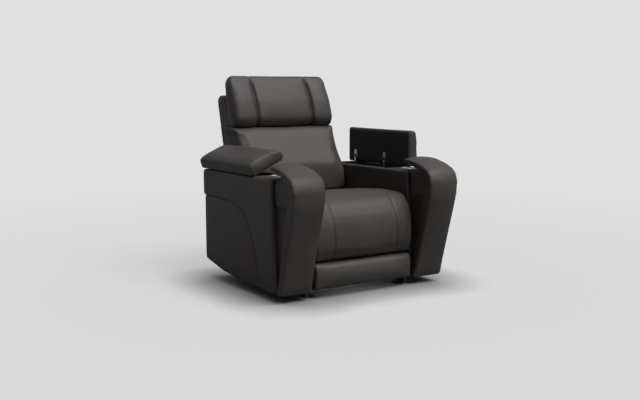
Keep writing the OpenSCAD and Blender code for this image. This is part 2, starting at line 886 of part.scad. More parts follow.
module side_plate(side) {
    outline = rounded(spots(plate_at, plate_box, plate_outline_shares), 4);
    color(PAINT)
        on_side(side) {
            difference() {
                slab(outline, plate_x0, plate_x1);
                rod_x(drive_r + run, plate_x0 - over, plate_x1 + over, drive_pivot);
                for (y = roller_ys)
                    rod_x(roller_pin_r + run, plate_x0 - over, plate_x1 + over, [y, rail_mid]);
                for (p = lighten_shares)
                    rod_x(lighten_r, plate_x0 - over, plate_x1 + over,
                        [plate_at[0] + p[0] * plate_box[0], plate_at[1] + p[1] * plate_box[1] + lighten_r]);
            }
            rod_x(leg_pin_r, bracket_x0 - weld, plate_x0 + weld, leg_pivot);
            rod_x(back_pin_r, back_x0 - 2 * weld, plate_x0 + weld, back_pivot);
        }
}

module glide_rollers() {
    color(DARK)
        for (side = [-1, 1])
            on_side(side)
                for (y = roller_ys) {
                    rod_x(roller_r, roller_x0, roller_x0 + roller_w, [y, rail_mid]);
                    rod_x(roller_pin_r, plate_x0 - weld, roller_x0 + roller_w + weld, [y, rail_mid]);
                }
}

module carriage_tubes() {
    color(PAINT)
        for (y = [-tube_y, tube_y])
            rod_x(tube_r, -plate_x0 + gap, plate_x0 - gap, [y, tube_z]);
}

module seat_frame() {
    x = plate_x0 - gap;
    color(WOOD)
        difference() {
            block([-x, frame_y0, frame_low], [x, frame_y1, frame_low + frame_h]);
            block([-x + frame_wall, frame_y0 + frame_wall, frame_low - over],
                [x - frame_wall, frame_y1 - frame_wall, frame_low + frame_h + over]);
        }
}

// Sinuous wire: bends that swing from side to side along the seat
spring_steps = 5;
function wire_spot(i) =
    let (n = spring_bends * spring_steps)
    let (t = i / n)
    [spring_swing * sin(360 * spring_bends / 2 * t),
        frame_y0 + spring_r + t * (frame_y1 - frame_y0 - 2 * spring_r)];
module wire(x) {
    n = spring_bends * spring_steps;
    sides = 6;
    rings = [for (i = [0 : n])
        let (d = unit(wire_spot(min(n, i + 1)) - wire_spot(max(0, i - 1))))
        let (m = wire_spot(i))
        [for (k = [0 : sides - 1])
            let (a = 360 * k / sides)
            [x + m[0] + spring_r * cos(a) * d[1], m[1] - spring_r * cos(a) * d[0],
                frame_low + frame_h + spring_r + gap + spring_r * sin(a)]]];
    skin = [for (j = [0 : n - 1]) for (k = [0 : sides - 1])
        let (a = j * sides + k)
        let (b = j * sides + (k + 1) % sides)
        each [[a, b, b + sides], [a, b + sides, a + sides]]];
    ends = [[for (k = [sides - 1 : -1 : 0]) k], [for (k = [0 : sides - 1]) n * sides + k]];
    polyhedron(points = [for (r = rings) each r], faces = concat(skin, ends));
}

module seat_springs() {
    color(STEEL)
        for (i = [0 : spring_n - 1])
            wire((i - (spring_n - 1) / 2) * spring_pitch);
}

module seat_cushion() {
    long = seat_rear - leg_pivot[0];
    under = under_share * roll_r;
    roll = arc(leg_pivot, roll_r, 90, 222, 12);
    outline = concat(
        rounded([[frame_y0 - seat_hook, leg_pivot[1] - under, 0], [frame_y0 - seat_hook, cushion_low, 0],
            [seat_rear, cushion_low, 2 * soft_edge], [seat_rear, seat_top - seat_rear_drop, seat_rear_r],
            [seat_rear - 0.2 * long, seat_top - seat_back_drop, seat_back_r],
            [seat_rear - 0.45 * long, seat_top - seat_mid_drop, seat_front_r],
            [leg_pivot[0] + 0.2 * long, seat_top + seat_front_rise, seat_front_r]], 3),
        [for (p = roll) flat(p)]);
    color(LEATHER)
        loft(outline, soft_stations(pad_half, soft_edge, seat_crown, seam_at, seam_dip, seam_wide));
}

// Gear motor, slide rail and saddle of the leg rest drive
leg_rail_z = 225;
leg_rail_r = 10;
leg_motor_half = 30;
leg_rail_front = -185;
leg_motor_front = 98;
leg_motor_up = 3;
leg_motor_side_share = 2.7;
saddle_wall = 7;
saddle_in = 6;
module leg_actuator() {
    front = leg_motor_front;
    rear = tube_y + tube_r + nut_wall;
    color(PAINT)
        difference() {
            union() {
                block([-leg_motor_half, front, tube_z + tube_r + leg_motor_up],
                    [leg_motor_half, rear, leg_rail_z + 2 * leg_motor_half]);
                rod_y(leg_rail_r, leg_rail_front, front + over, [0, leg_rail_z]);
                rod_x(tube_r + saddle_wall, -leg_motor_half + saddle_in, leg_motor_half - saddle_in,
                    [tube_y, tube_z]);
                rod_x(leg_motor_half - over, leg_motor_half - over, leg_motor_side_share * leg_motor_half,
                    [(front + rear) / 2, leg_rail_z + leg_motor_half]);
            }
            rod_x(tube_r + run, -leg_motor_half - over, leg_motor_half + over, [tube_y, tube_z]);
        }
}

nut_half = 22;
nut_top = 300;
slot_play = 2.6;
slot_half = ear_pin_r + slot_play;
slot_end = 3;
nut_floor = 7;
ear_play = 1.5;
module drive_nut() {
    y = ear_from[0];
    high = ear_from[1] + ear_pin_r + slot_end;
    low = drive_pivot[1] - ear_arm - ear_pin_r - slot_end;
    color(STEEL)
        difference() {
            block([-nut_half, y - nut_half, leg_rail_z - leg_rail_r - nut_floor],
                [nut_half, y + nut_half, nut_top]);
            rod_y(leg_rail_r + run, y - 2 * nut_half, y + 2 * nut_half, [0, leg_rail_z]);
            block([-ear_half - ear_play, y - 2 * nut_half, low - over],
                [ear_half + ear_play, y + 2 * nut_half, nut_top + over]);
            block([-2 * nut_half, y - slot_half, low], [2 * nut_half, y + slot_half, high]);
        }
}

// Flat link between two eyes, in Y and Z
module link(p, q, half, x0, x1) {
    d = unit(q - p);
    s = half * [-d[1], d[0]];
    slab([p + s, p - s, q - s, q + s], x0, x1);
    rod_x(half, x0, x1, p);
    rod_x(half, x0, x1, q);
}

module drive_tube() {
    far = drive_pivot + crank;
    color(PAINT) {
        rod_x(drive_r, -plate_x1 - 2 * weld, plate_x1 + 2 * weld, drive_pivot);
        for (side = [-1, 1])
            on_side(side) {
                link(drive_pivot, far, crank_half, crank_x0, crank_x0 + rod_t);
                rod_x(leg_pin_r, crank_x0, rod_x0 + rod_t + weld / 2, far);
            }
        link(drive_pivot, ear_from, rod_half + weld, -ear_half, ear_half);
        rod_x(ear_pin_r, -nut_half - weld, nut_half + weld, ear_from);
    }
}

module leg_rod(side) {
    color(STEEL)
        on_side(side)
            difference() {
                link(leg_pivot + crank, drive_pivot + crank, rod_half, rod_x0, rod_x0 + rod_t);
                rod_x(leg_pin_r + run, rod_x0 - over, rod_x0 + rod_t + over, leg_pivot + crank);
                rod_x(leg_pin_r + run, rod_x0 - over, rod_x0 + rod_t + over, drive_pivot + crank);
            }
}

leg_face = leg_pivot[0] - roll_r;
leg_board_front = leg_face + leg_pad_t + gap;
leg_board_rear = leg_board_front + board_leg_t;
module leg_board() {
    color(WOOD)
        block([-pad_half, leg_board_front, leg_board_z0], [pad_half, leg_board_rear, leg_board_z1]);
}

// Half width of a bracket round its pins, and its screw flange on the board
eye_half = 16;
foot_up = 28;
tab_w = 34;
tab_low = 40;
tab_high = 14;
module leg_bracket(side) {
    s = leg_pivot + crank;
    x1 = bracket_x0 + rod_t;
    e = eye_half;
    p = leg_pivot;
    outline = rounded([
        [leg_board_front, leg_board_z0 + foot_up, e / 2],
            [leg_board_rear + e, leg_board_z0 + foot_up, e / 2],
        [leg_board_rear + e, s[1] - 2.5 * e, e], [s[0] + e, s[1] - e, e], [s[0] + e, s[1] + e, e],
        [p[0] + e, p[1] - 2.5 * e, 2 * e], [p[0] + e, p[1] + e, e], [p[0] - e, p[1] + e, e],
        [p[0] - e, p[1] - 4 * e, 1.5 * e], [leg_board_front, leg_board_z1, 1.5 * e]], 4);
    color(STEEL)
        on_side(side) {
            difference() {
                slab(outline, bracket_x0, x1);
                rod_x(leg_pin_r + run, bracket_x0 - over, x1 + over, leg_pivot);
            }
            rod_x(leg_pin_r, rod_x0 - weld / 2, bracket_x0 + weld, s);
            block([bracket_x0 - tab_w, leg_board_rear + gap, leg_board_z0 + tab_low],
                [bracket_x0 + weld, leg_board_rear + gap + rod_t, leg_board_z1 - tab_high]);
        }
}

// Front of the long leg pad, as shares of its bulge and of the roll's radius
chaise_shares = [[0.29, 0.3], [0.71, 0.6], [1, 1.1], [0.71, 1.7]];
chaise_in = 2;
chaise_edge = 4;
leg_crown = 1;
module chaise_pad() {
    rear = leg_face + leg_pad_t;
    meet = roll_r + roll_gap;
    low_turn = 180 + acos((roll_r - leg_pad_t) / meet);
    lip = arc(leg_pivot, meet, low_turn, 204, 7);
    face = leg_pivot[1];
    front = [for (p = chaise_shares) [leg_face - p[0] * leg_bulge, face - p[1] * roll_r, 0]];
    outline = rounded(concat([[leg_face + chaise_in, chaise_low, 2 * soft_edge],
        [rear, chaise_low, soft_edge]], lip, front), 3);
    color(LEATHER)
        loft(outline, soft_stations(pad_half, chaise_edge, leg_crown, seam_at, seam_dip, seam_wide));
}

module foot_pad() {
    rear = leg_face + leg_pad_t;
    outline = rounded([[leg_face + foot_in, foot_low, 2.5 * soft_edge], [rear, foot_low, 1.5 * soft_edge],
        [rear, foot_high, 1.5 * soft_edge], [leg_face + foot_in, foot_high, 2.8 * soft_edge],
        [leg_face - leg_bulge, (foot_low + foot_high) / 2, 8.5 * soft_edge]], 4);
    color(LEATHER)
        loft(outline, soft_stations(pad_half, soft_edge, leg_crown, seam_at, 0, seam_wide));
}

// Front plane of the back rest, which rakes back as it rises
function rake_y(z) = back_front + (z - back_zero) * rake_share;
function raked(d0, d1, z0, z1) = [[rake_y(z0) + d0, z0], [rake_y(z0) + d1, z0], [rake_y(z1) + d1, z1],
    [rake_y(z1) + d0, z1]];

module back_frame() {
    color(WOOD) {
        for (side = [-1, 1])
            on_side(side)
                slab(raked(post_in, post_in + post_deep, back_z0 + shell_wall, frame_top),
                    post_x1 - post_w, post_x1);
        for (z = back_rails)
            slab(raked(post_in, post_in + post_deep, z + rail_up, z + rail_up + back_rail_h),
                -post_x1 + weld, post_x1 - weld);
    }
}

// Steel plates on the outer faces of the posts: hinge and cam pin below, headrest lug above
module back_brackets() {
    color(STEEL)
        for (side = [-1, 1])
            on_side(side) {
                back_bracket();
                head_lug();
            }
}

// Strap of the bracket along a post
strap_low = 484;
strap_high = 600;
post_edge = 5;
module back_bracket() {
    k = [back_pivot[0], back_pivot[1] - cam_arm];
    e = eye_half;
    r = back_pivot;
    y0 = post_in + post_edge;
    y1 = post_in + post_deep - post_edge;
    outline = rounded([
        [k[0] - e, k[1] - e, e], [k[0] + e, k[1] - e, e], [r[0] + e, r[1] - 2 * e, e],
            [r[0] + 7.5 * e, r[1] + e, 2.5 * e],
        [rake_y(strap_low) + y1, strap_low, e / 2], [rake_y(strap_high) + y1, strap_high, e / 2],
        [rake_y(strap_high) + y0, strap_high, e / 2], [rake_y(strap_low + e) + y0, strap_low + e, 1.25 * e],
        [r[0] + 1.25 * e, r[1] + 1.5 * e, 2 * e], [r[0] - e, r[1] + e, e]], 4);
    difference() {
        slab(outline, back_x0, back_x0 + plate_t);
        rod_x(back_pin_r + run, back_x0 - over, back_x0 + plate_t + over, back_pivot);
    }
    rod_x(cam_pin_r, cam_x0 - 2 * weld, back_x0 + weld, k);
}

module head_lug() {
    z = head_pivot[1];
    deep = post_in + post_deep;
    slab([[head_pivot[0], z - lug_r], [rake_y(z - lug_long) + post_in, z - lug_long],
        [rake_y(z - lug_long) + deep, z - lug_long],
        [rake_y(z) + deep, z], [head_pivot[0] + lug_r, z + lug_r - lug_t], [head_pivot[0], z + lug_r]],
            back_x0, back_x0 + lug_t);
    rod_x(lug_r, back_x0, back_x0 + lug_t, head_pivot);
    rod_x(head_pin_r, cheek_x0 - weld, back_x0 + weld, head_pivot);
}

// Upholstered outer back, open in front where the lumbar cushion closes it
module back_shell() {
    outer = rounded([for (p = raked(0, back_thick, back_z0, back_z1)) [p[0], p[1], shell_r]], 5);
    color(LEATHER)
        difference() {
            loft(outer, plain_stations(-back_half, back_half, shell_edge, shell_edge));
            slab(raked(shell_front, back_thick - shell_wall, back_z0 + shell_wall - gap,
                back_z1 - shell_wall),
                -back_half + shell_wall, back_half - shell_wall);
            slab(raked(-over - shell_open, shell_front + over, back_z0 - over, cavity_top),
                -back_half + shell_wall, back_half - shell_wall);
            slab(raked(-over, back_thick - 2 * shell_wall, back_z0 - shell_under,
                back_z0 + shell_wall + over),
                -back_half + shell_wall, back_half - shell_wall);
        }
}

module lumbar_cushion() {
    outline = rounded([
        [seat_rear + lumbar_in, lumbar_low, 2 * lumbar_edge],
            [rake_y(lumbar_low) + lumbar_sink, lumbar_low, 1.7 * lumbar_edge],
        [rake_y(lumbar_rear_top) + lumbar_sink, lumbar_rear_top, 2 * lumbar_edge],
        [rake_y(lumbar_rear_top) - lumbar_top_in, lumbar_high, 2 * lumbar_edge],
        each [for (p = lumbar_shares) lumbar_spot(p)]], 4);
    color(LEATHER)
        loft(outline, soft_stations(lumbar_half, lumbar_edge, lumbar_crown, head_groove, 0, seam_wide));
}
function lumbar_spot(p) =
    let (tall = lumbar_high - lumbar_low)
    [lumbar_face + p[0] * lumbar_deep, lumbar_low + p[1] * tall, p[2] * tall];

module head_bracket() {
    z = head_pivot[1];
    low = z + head_rise;
    high = low + head_plate_h;
    y0 = head_plate_y;
    y1 = y0 + (high - low) * head_lean_share;
    x1 = cheek_x0 + cheek_t;
    cheek = [[head_pivot[0] - cheek_half, z], [head_pivot[0] + cheek_half, z - cheek_half / 2],
        [y0 + head_plate_t, low],
        [y0 + 2 * head_plate_t, low + cheek_up], [y0, low + cheek_up],
            [y0 - cheek_half, low - cheek_half / 2]];
    color(STEEL) {
        slab([[y0, low], [y0 + head_plate_t, low], [y1 + head_plate_t, high], [y1, high]], -x1, x1);
        for (side = [-1, 1])
            on_side(side)
                difference() {
                    union() {
                        rod_x(lug_r, cheek_x0, x1, head_pivot);
                        slab(cheek, cheek_x0, x1);
                    }
                    rod_x(head_pin_r + run, cheek_x0 - over, x1 + over, head_pivot);
                }
    }
}

head_at = [352, 800];
head_box = [148, 292];
head_outline_shares = [
    [0.15, 0.02, 0.09], [0.70, 0.012, 0.07], [0.79, 0.16, 0.3], [0.955, 0.72, 0.3],
    [0.985, 0.92, 0.08], [0.86, 0.992, 0.075], [0.70, 0.955, 0.10], [0.20, 0.50, 0.5],
    [0.0, 0.17, 0.14]
];
module head_cushion() {
    outline = rounded(spots(head_at, head_box, head_outline_shares), 4);
    color(LEATHER)
        loft(outline, soft_stations(head_half, lumbar_edge, head_crown, head_groove, head_dip,
            head_seam_wide));
}

arm_core(-1);  // arm_core_left
arm_core(1);  // arm_core_right
arm_shell(-1);  // arm_shell_left
arm_shell(1);  // arm_shell_right
side_panel(-1);  // side_panel_left
side_panel(1);  // side_panel_right
front_band(-1);  // front_band_left
front_band(1);  // front_band_right
gusset(-1);  // gusset_left
gusset(1);  // gusset_right
storage_bin(-1);  // storage_bin_left
storage_bin(1);  // storage_bin_right
cup_holder(-1);  // cup_holder_left
cup_holder(1);  // cup_holder_right
lid_board(-1);  // lid_board_left
lid_board(1);  // lid_board_right
lid_pad(-1);  // lid_pad_left
lid_pad(1);  // lid_pad_right
lid_hinge_leaf(-1);  // lid_hinge_leaf_left
lid_hinge_leaf(1);  // lid_hinge_leaf_right
lid_hinge_cup(-1);  // lid_hinge_cup_left
lid_hinge_cup(1);  // lid_hinge_cup_right
base_rail(-1);  // base_rail_left
base_rail(1);  // base_rail_right
base_crossbars();
arm_bolts();
rear_valance();
recline_cam(-1);  // recline_cam_left
recline_cam(1);  // recline_cam_right
recline_actuator();
control_plate();
button(0);  // button_leg_up
button(1);  // button_leg_down
button(2);  // button_back
button(3);  // button_head
side_plate(-1);  // side_plate_left
side_plate(1);  // side_plate_right
glide_rollers();
carriage_tubes();
seat_frame();
seat_springs();
seat_cushion();
leg_actuator();
recline_nut();
drive_tube();
drive_nut();
leg_rod(-1);  // leg_rod_left
leg_rod(1);  // leg_rod_right
leg_board();
leg_bracket(-1);  // leg_bracket_left
leg_bracket(1);  // leg_bracket_right
chaise_pad();
foot_pad();
back_frame();
back_brackets();
back_shell();
lumbar_cushion();
head_bracket();
head_cushion();
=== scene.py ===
"""Cinema recliner seat: leather, fittings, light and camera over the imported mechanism.

Lengths are metres in the seat's own frame: X across the seat, Y from its front to its back,
Z up from the floor, with the origin in the middle of the four floor anchors.
"""
from __future__ import annotations

import json
import logging
import math
from collections.abc import Callable, Sequence
from dataclasses import dataclass, field
from enum import Enum

import bpy
import numpy as np
from mathutils import Matrix, Vector

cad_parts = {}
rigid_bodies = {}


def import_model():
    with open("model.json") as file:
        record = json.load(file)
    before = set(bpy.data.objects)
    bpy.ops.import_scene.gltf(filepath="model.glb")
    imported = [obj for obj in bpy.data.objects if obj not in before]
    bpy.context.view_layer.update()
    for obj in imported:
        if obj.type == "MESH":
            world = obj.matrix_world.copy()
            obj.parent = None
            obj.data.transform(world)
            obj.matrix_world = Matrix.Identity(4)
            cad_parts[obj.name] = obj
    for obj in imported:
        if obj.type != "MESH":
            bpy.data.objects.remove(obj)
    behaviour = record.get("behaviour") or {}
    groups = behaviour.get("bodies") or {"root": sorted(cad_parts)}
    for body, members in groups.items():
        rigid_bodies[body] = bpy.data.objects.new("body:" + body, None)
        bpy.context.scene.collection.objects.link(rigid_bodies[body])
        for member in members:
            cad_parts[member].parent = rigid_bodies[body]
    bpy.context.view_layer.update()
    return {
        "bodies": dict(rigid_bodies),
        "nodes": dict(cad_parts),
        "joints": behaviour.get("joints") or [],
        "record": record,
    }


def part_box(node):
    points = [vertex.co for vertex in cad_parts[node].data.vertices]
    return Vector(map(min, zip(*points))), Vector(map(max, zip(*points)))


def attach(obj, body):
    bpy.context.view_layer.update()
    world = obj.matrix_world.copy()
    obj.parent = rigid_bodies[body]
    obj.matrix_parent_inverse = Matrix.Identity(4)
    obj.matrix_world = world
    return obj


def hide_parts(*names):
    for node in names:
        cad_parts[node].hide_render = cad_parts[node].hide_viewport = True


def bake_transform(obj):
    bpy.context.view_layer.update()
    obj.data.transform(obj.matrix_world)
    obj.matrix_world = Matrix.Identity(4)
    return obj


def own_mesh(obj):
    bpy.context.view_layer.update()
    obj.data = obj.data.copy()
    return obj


LOG = logging.getLogger("recliner")
LAST_CLOTH_FRAME = 20
CLOTH = {
    "quality": 5, "mass": 0.35, "tension_stiffness": 14, "compression_stiffness": 14, "shear_stiffness": 6,
    "bending_stiffness": 1.2, "use_pressure": True, "vertex_group_mass": "sewn",
}
PALE = 0.745
NEAR_FLOOR = 0.70
# Pressed depth at which the shade painted into the seams is full.
FULL_SEAM_SHADE = 0.004
ABOVE_ARM = 0.65

Point = tuple[float, float]
Outline = list[Point]
Rows = np.ndarray
Field = Callable[[Rows], Rows]
Piece = bpy.types.Object
Socket = bpy.types.NodeSocket


class Along(Enum):
    """The axis that an outline is carried along, with the two axes that the outline lies in."""

    X = (0, 1, 2)
    Y = (1, 0, 2)
    Z = (2, 0, 1)


class Side(Enum):
    """The two arms of the seat."""

    LEFT = -1
    RIGHT = 1

    @property
    def word(self) -> str:
        """The side as it ends a node's name."""
        return self.name.lower()


# Outlines


def turn(centre: Point, radius: float, start: float, end: float, steps: int) -> Outline:
    """Points along an arc.

    Args:
        centre: Middle of the arc.
        radius: Radius of the arc.
        start: First angle in degrees.
        end: Last angle in degrees.
        steps: Number of straight steps.

    Returns:
        The points from start to end.
    """
    angles = [math.radians(start + (end - start) * i / steps) for i in range(steps + 1)]
    return [(centre[0] + radius * math.cos(a), centre[1] + radius * math.sin(a)) for a in angles]


def rounded(corners: Sequence[tuple[float, float, float]], steps: int = 5) -> Outline:
    """Rounds the corners of an outline.

    Args:
        corners: Each corner as its two coordinates and its radius.
        steps: Straight steps in each rounded corner.

    Returns:
        The rounded outline.
    """
    points: Outline = []
    count = len(corners)
    for i, (u, v, radius) in enumerate(corners):
        here = Vector((u, v))
        before = Vector(corners[i - 1][:2]) - here
        after = Vector(corners[(i + 1) % count][:2]) - here
        if radius <= 0:
            points.append((u, v))
            continue
        half = before.angle(after) / 2
        reach = min(radius / math.tan(half), 0.45 * min(before.length, after.length))
        radius = reach * math.tan(half)
        before.normalize()
        after.normalize()
        middle = here + (before + after).normalized() * radius / math.sin(half)
        first = here + before * reach - middle
        last = here + after * reach - middle
        start = math.degrees(math.atan2(first.y, first.x))
        sweep = (math.degrees(math.atan2(last.y, last.x)) - start + 540) % 360 - 180
        points += turn((middle.x, middle.y), radius, start, start + sweep, steps)
    return points


def rectangle(left: float, low: float, right: float, high: float) -> Outline:
    """The four corners between two opposite ones."""
    return [(left, low), (right, low), (right, high), (left, high)]


# Modelling by operators


def deselect() -> None:
    """Leaves edit mode and deselects everything."""
    if bpy.context.object and bpy.context.object.mode != "OBJECT":
        bpy.ops.object.mode_set(mode="OBJECT")
    bpy.ops.object.select_all(action="DESELECT")


def pick(piece: Piece) -> None:
    """Selects one piece alone and makes it active.

    Args:
        piece: The piece.
    """
    deselect()
    piece.select_set(True)
    bpy.context.view_layer.objects.active = piece


def finish_with(piece: Piece, kind: str, **settings: object) -> None:
    """Adds a modifier to a piece and applies it.

    Args:
        piece: The piece to change.
        kind: Blender's name of the modifier type.
        **settings: The modifier's own settings.
    """
    pick(piece)
    modifier = piece.modifiers.new(kind.title(), kind)
    for name, value in settings.items():
        setattr(modifier, name, value)
    bpy.ops.object.modifier_apply(modifier=modifier.name)


def prism(name: str, outline: Outline, low: float, high: float, along: Along) -> Piece:
    """Carries a flat outline along an axis into a closed solid.

    Args:
        name: Name of the new piece.
        outline: The outline's points in its own two axes.
        low: Where the solid starts along the axis.
        high: Where it ends.
        along: The axis.

    Returns:
        The new piece.
    """
    deselect()
    bpy.ops.mesh.primitive_circle_add(vertices=len(outline), radius=1.0, fill_type="NGON")
    piece = bpy.context.object
    piece.name = name
    axis, u, v = along.value
    for vertex, point in zip(piece.data.vertices, outline):
        vertex.co[axis] = low
        vertex.co[u] = point[0]
        vertex.co[v] = point[1]
    step = [0.0, 0.0, 0.0]
    step[axis] = high - low
    bpy.ops.object.mode_set(mode="EDIT")
    bpy.ops.mesh.select_all(action="SELECT")
    bpy.ops.mesh.extrude_region_move(TRANSFORM_OT_translate={"value": step})
    bpy.ops.mesh.select_all(action="SELECT")
    bpy.ops.mesh.normals_make_consistent(inside=False)
    bpy.ops.object.mode_set(mode="OBJECT")
    return piece


def carve(piece: Piece, tool: Piece, how: str = "DIFFERENCE") -> None:
    """Cuts a piece with a second one, which is then deleted.

    Args:
        piece: The piece that stays.
        tool: The piece that cuts.
        how: DIFFERENCE, INTERSECT or UNION.
    """
    finish_with(piece, "BOOLEAN", operation=how, object=tool, solver="EXACT")
    bpy.data.objects.remove(tool, do_unlink=True)


def soften(piece: Piece, voxel: float, rounds: int) -> None:
    """Gives a solid an even mesh and rounds its edges.

    Args:
        piece: The piece to change.
        voxel: Size of the new faces.
        rounds: How often the mesh is smoothed.
    """
    finish_with(piece, "REMESH", mode="VOXEL", voxel_size=voxel, use_smooth_shade=True)
    finish_with(piece, "SMOOTH", factor=0.5, iterations=rounds)


def rows(piece: Piece, what: str) -> Rows:
    """Reads the piece's vertices, one row each.

    Args:
        piece: The piece to read.
        what: Blender's name of what is read, "co" for places or "normal" for normals.

    Returns:
        The rows.
    """
    flat = np.empty(len(piece.data.vertices) * 3, np.float32)
    piece.data.vertices.foreach_get(what, flat)
    return flat.reshape(-1, 3)


def places(piece: Piece) -> Rows:
    """The places of the piece's vertices in full precision."""
    return rows(piece, "co").astype(float)


def put(piece: Piece, points: Rows) -> None:
    """Moves the piece's vertices to new places."""
    piece.data.vertices.foreach_set("co", points.astype(np.float32).ravel())
    piece.data.update()


def press(piece: Piece, depth: Field | None = None) -> None:
    """Presses the surface in along its normals and marks how deep it lies, for the shade painted into the
    seams.

    Args:
        piece: The piece to change.
        depth: Depth at each point, given all points as rows, or None for a smooth piece.
    """
    points = places(piece)
    amount = np.zeros(len(points)) if depth is None else depth(points)
    put(piece, points - rows(piece, "normal") * amount[:, None])
    # The pressed depth is stored as painted seam shade: the leather is darkened where the surface lies
    # deeper.
    mark = piece.data.attributes.new("crease", "FLOAT", "POINT")
    mark.data.foreach_set("value", np.clip(amount / FULL_SEAM_SHADE, 0, 1).astype(np.float32))


def channel(distance: Rows, depth: float, width: float) -> Rows:
    """Depth of a sewn channel at a distance from its seam."""
    return depth * np.exp(-((distance / width) ** 2))


def uneven(piece: Piece, height: float, size: float) -> None:
    """Adds the slow unevenness of foam under leather.

    Args:
        piece: The piece to change.
        height: Height of the unevenness.
        size: Size of one swell.
    """
    texture = bpy.data.textures.new(f"{piece.name}_swell", "CLOUDS")
    texture.noise_scale = size
    texture.noise_depth = 2
    finish_with(piece, "DISPLACE", texture=texture, strength=height, mid_level=0.5, texture_coords="LOCAL")


def crown(piece: Piece, axis: int, middle: float, half: float, height: float,
          share: Field | None = None) -> None:
    """Swells a piece most in the middle of one axis, as stuffing does between two seams.

    Args:
        piece: The piece to change.
        axis: The axis across the seams.
        middle: Place midway between the seams.
        half: Half the distance between them.
        height: Height of the swell in the middle.
        share: Gives how much of it each point gets.
    """
    normals = rows(piece, "normal")
    points = places(piece)
    swell = np.clip(1 - ((points[:, axis] - middle) / half) ** 2, 0, 1)
    amount = height * swell * (1 - np.abs(normals[:, axis]))
    if share is not None:
        amount = amount * share(points)
    put(piece, points + normals * amount[:, None])


def turn_away(piece: Piece, half: float, radius: float, rear: Field, deep: float) -> None:
    """Rounds the front of a cushion away towards both of its sides.

    Args:
        piece: The cushion.
        half: Half its width.
        radius: Radius of the rounding, seen from above.
        rear: Gives the cushion's rear face at each height.
        deep: Depth at which the rounding is full.
    """
    points = places(piece)
    reach = np.clip((np.abs(points[:, 0]) - (half - radius)) / radius, 0, 0.97)
    back = radius * (1 - np.sqrt(1 - reach ** 2))
    points[:, 1] += back * np.clip((rear(points[:, 2]) - points[:, 1]) / deep, 0, 1)
    put(piece, points)


def mirrored(piece: Piece, name: str) -> Piece:
    """Copies a piece to the other side of the seat.

    Args:
        piece: The piece to copy.
        name: Name of the copy.

    Returns:
        The copy, with its own mesh.
    """
    pick(piece)
    bpy.ops.object.duplicate()
    copy = bpy.context.object
    copy.name = name
    points = places(copy)
    points[:, 0] *= -1
    put(copy, points)
    bpy.ops.object.mode_set(mode="EDIT")
    bpy.ops.mesh.select_all(action="SELECT")
    bpy.ops.mesh.flip_normals()
    bpy.ops.object.mode_set(mode="OBJECT")
    return copy


def turned(piece: Piece, pivot: Sequence[float], degrees: float) -> None:
    """Turns a piece's mesh about a line along Y.

    Args:
        piece: The piece to turn.
        pivot: A point on the line.
        degrees: Angle by the right-hand rule about +Y.
    """
    centre = Matrix.Translation(Vector(pivot))
    piece.data.transform(centre @ Matrix.Rotation(math.radians(degrees), 4, "Y") @ centre.inverted())


def hoop(name: str, path: Sequence[Sequence[float]], radius: float) -> Piece:
    """A round strand along a closed path.

    Args:
        name: Name of the new piece.
        path: The points that it follows.
        radius: Radius of the strand.

    Returns:
        The strand as a mesh.
    """
    deselect()
    curve = bpy.data.curves.new(name, "CURVE")
    curve.dimensions = "3D"
    curve.bevel_depth = radius
    curve.bevel_resolution = 2
    spline = curve.splines.new("POLY")
    spline.points.add(len(path) - 1)
    for target, point in zip(spline.points, path):
        target.co = (*point, 1.0)
    spline.use_cyclic_u = True
    piece = bpy.data.objects.new(name, curve)
    bpy.context.collection.objects.link(piece)
    pick(piece)
    bpy.ops.object.convert(target="MESH")
    bpy.ops.object.shade_smooth()
    return bpy.context.object


# Cloth


@dataclass
class Stuffing:
    """How hard a padded piece is filled, and where its cover is sewn down.

    Attributes:
        piece: The padded piece.
        pressure: Pressure inside the cover.
        cap: Furthest that any point may move.
        held: Gives 1 where the cover is sewn down and 0 where it is free.
        calm: Rounds in which the creases of the filled cover are evened out.
    """

    piece: Piece
    pressure: float
    cap: float
    held: Field
    calm: int = 24

    def sew(self) -> None:
        """Adds the cloth with its sewn points."""
        group = self.piece.vertex_groups.new(name="sewn")
        weights = self.held(places(self.piece))
        for index in np.nonzero(weights > 0.01)[0]:
            group.add([int(index)], float(weights[index]), "REPLACE")
        cloth = self.piece.modifiers.new("Cloth", "CLOTH")
        for name, value in CLOTH.items():
            setattr(cloth.settings, name, value)
        cloth.settings.uniform_pressure_force = self.pressure
        cloth.settings.effector_weights.gravity = 0
        cloth.collision_settings.use_collision = False
        cloth.point_cache.frame_start = 1
        cloth.point_cache.frame_end = LAST_CLOTH_FRAME

    def keep(self) -> None:
        """Keeps the filled shape without its creases, and no point further off than the cap."""
        mesh = self.piece.data
        seen = self.piece.evaluated_get(bpy.context.evaluated_depsgraph_get())
        start = places(self.piece)
        move = rows(seen, "co") - start
        length = np.linalg.norm(move, axis=1)
        move *= np.minimum(1, self.cap / np.maximum(length, 1e-9))[:, None]
        ends = np.empty(len(mesh.edges) * 2, np.int32)
        mesh.edges.foreach_get("vertices", ends)
        ends = ends.reshape(-1, 2)
        ends = np.concatenate([ends, ends[:, ::-1]])
        near = np.maximum(np.bincount(ends[:, 0], minlength=len(start)), 1)[:, None]
        free = 1 - self.held(start)[:, None]
        for _ in range(self.calm):
            pull = [np.bincount(ends[:, 0], move[ends[:, 1], axis], len(start)) for axis in range(3)]
            move = (0.5 * move + 0.5 * np.stack(pull, 1) / near) * free
        self.piece.modifiers.remove(self.piece.modifiers["Cloth"])
        put(self.piece, start + move)


def fill(stuffed: Sequence[Stuffing]) -> None:
    """Fills all padded pieces together, frame by frame.

    Args:
        stuffed: The pieces to fill.
    """
    for item in stuffed:
        item.sew()
    for number in range(1, LAST_CLOTH_FRAME + 1):
        bpy.context.scene.frame_set(number)
    for item in stuffed:
        item.keep()
    bpy.context.scene.frame_set(1)


# Finishes


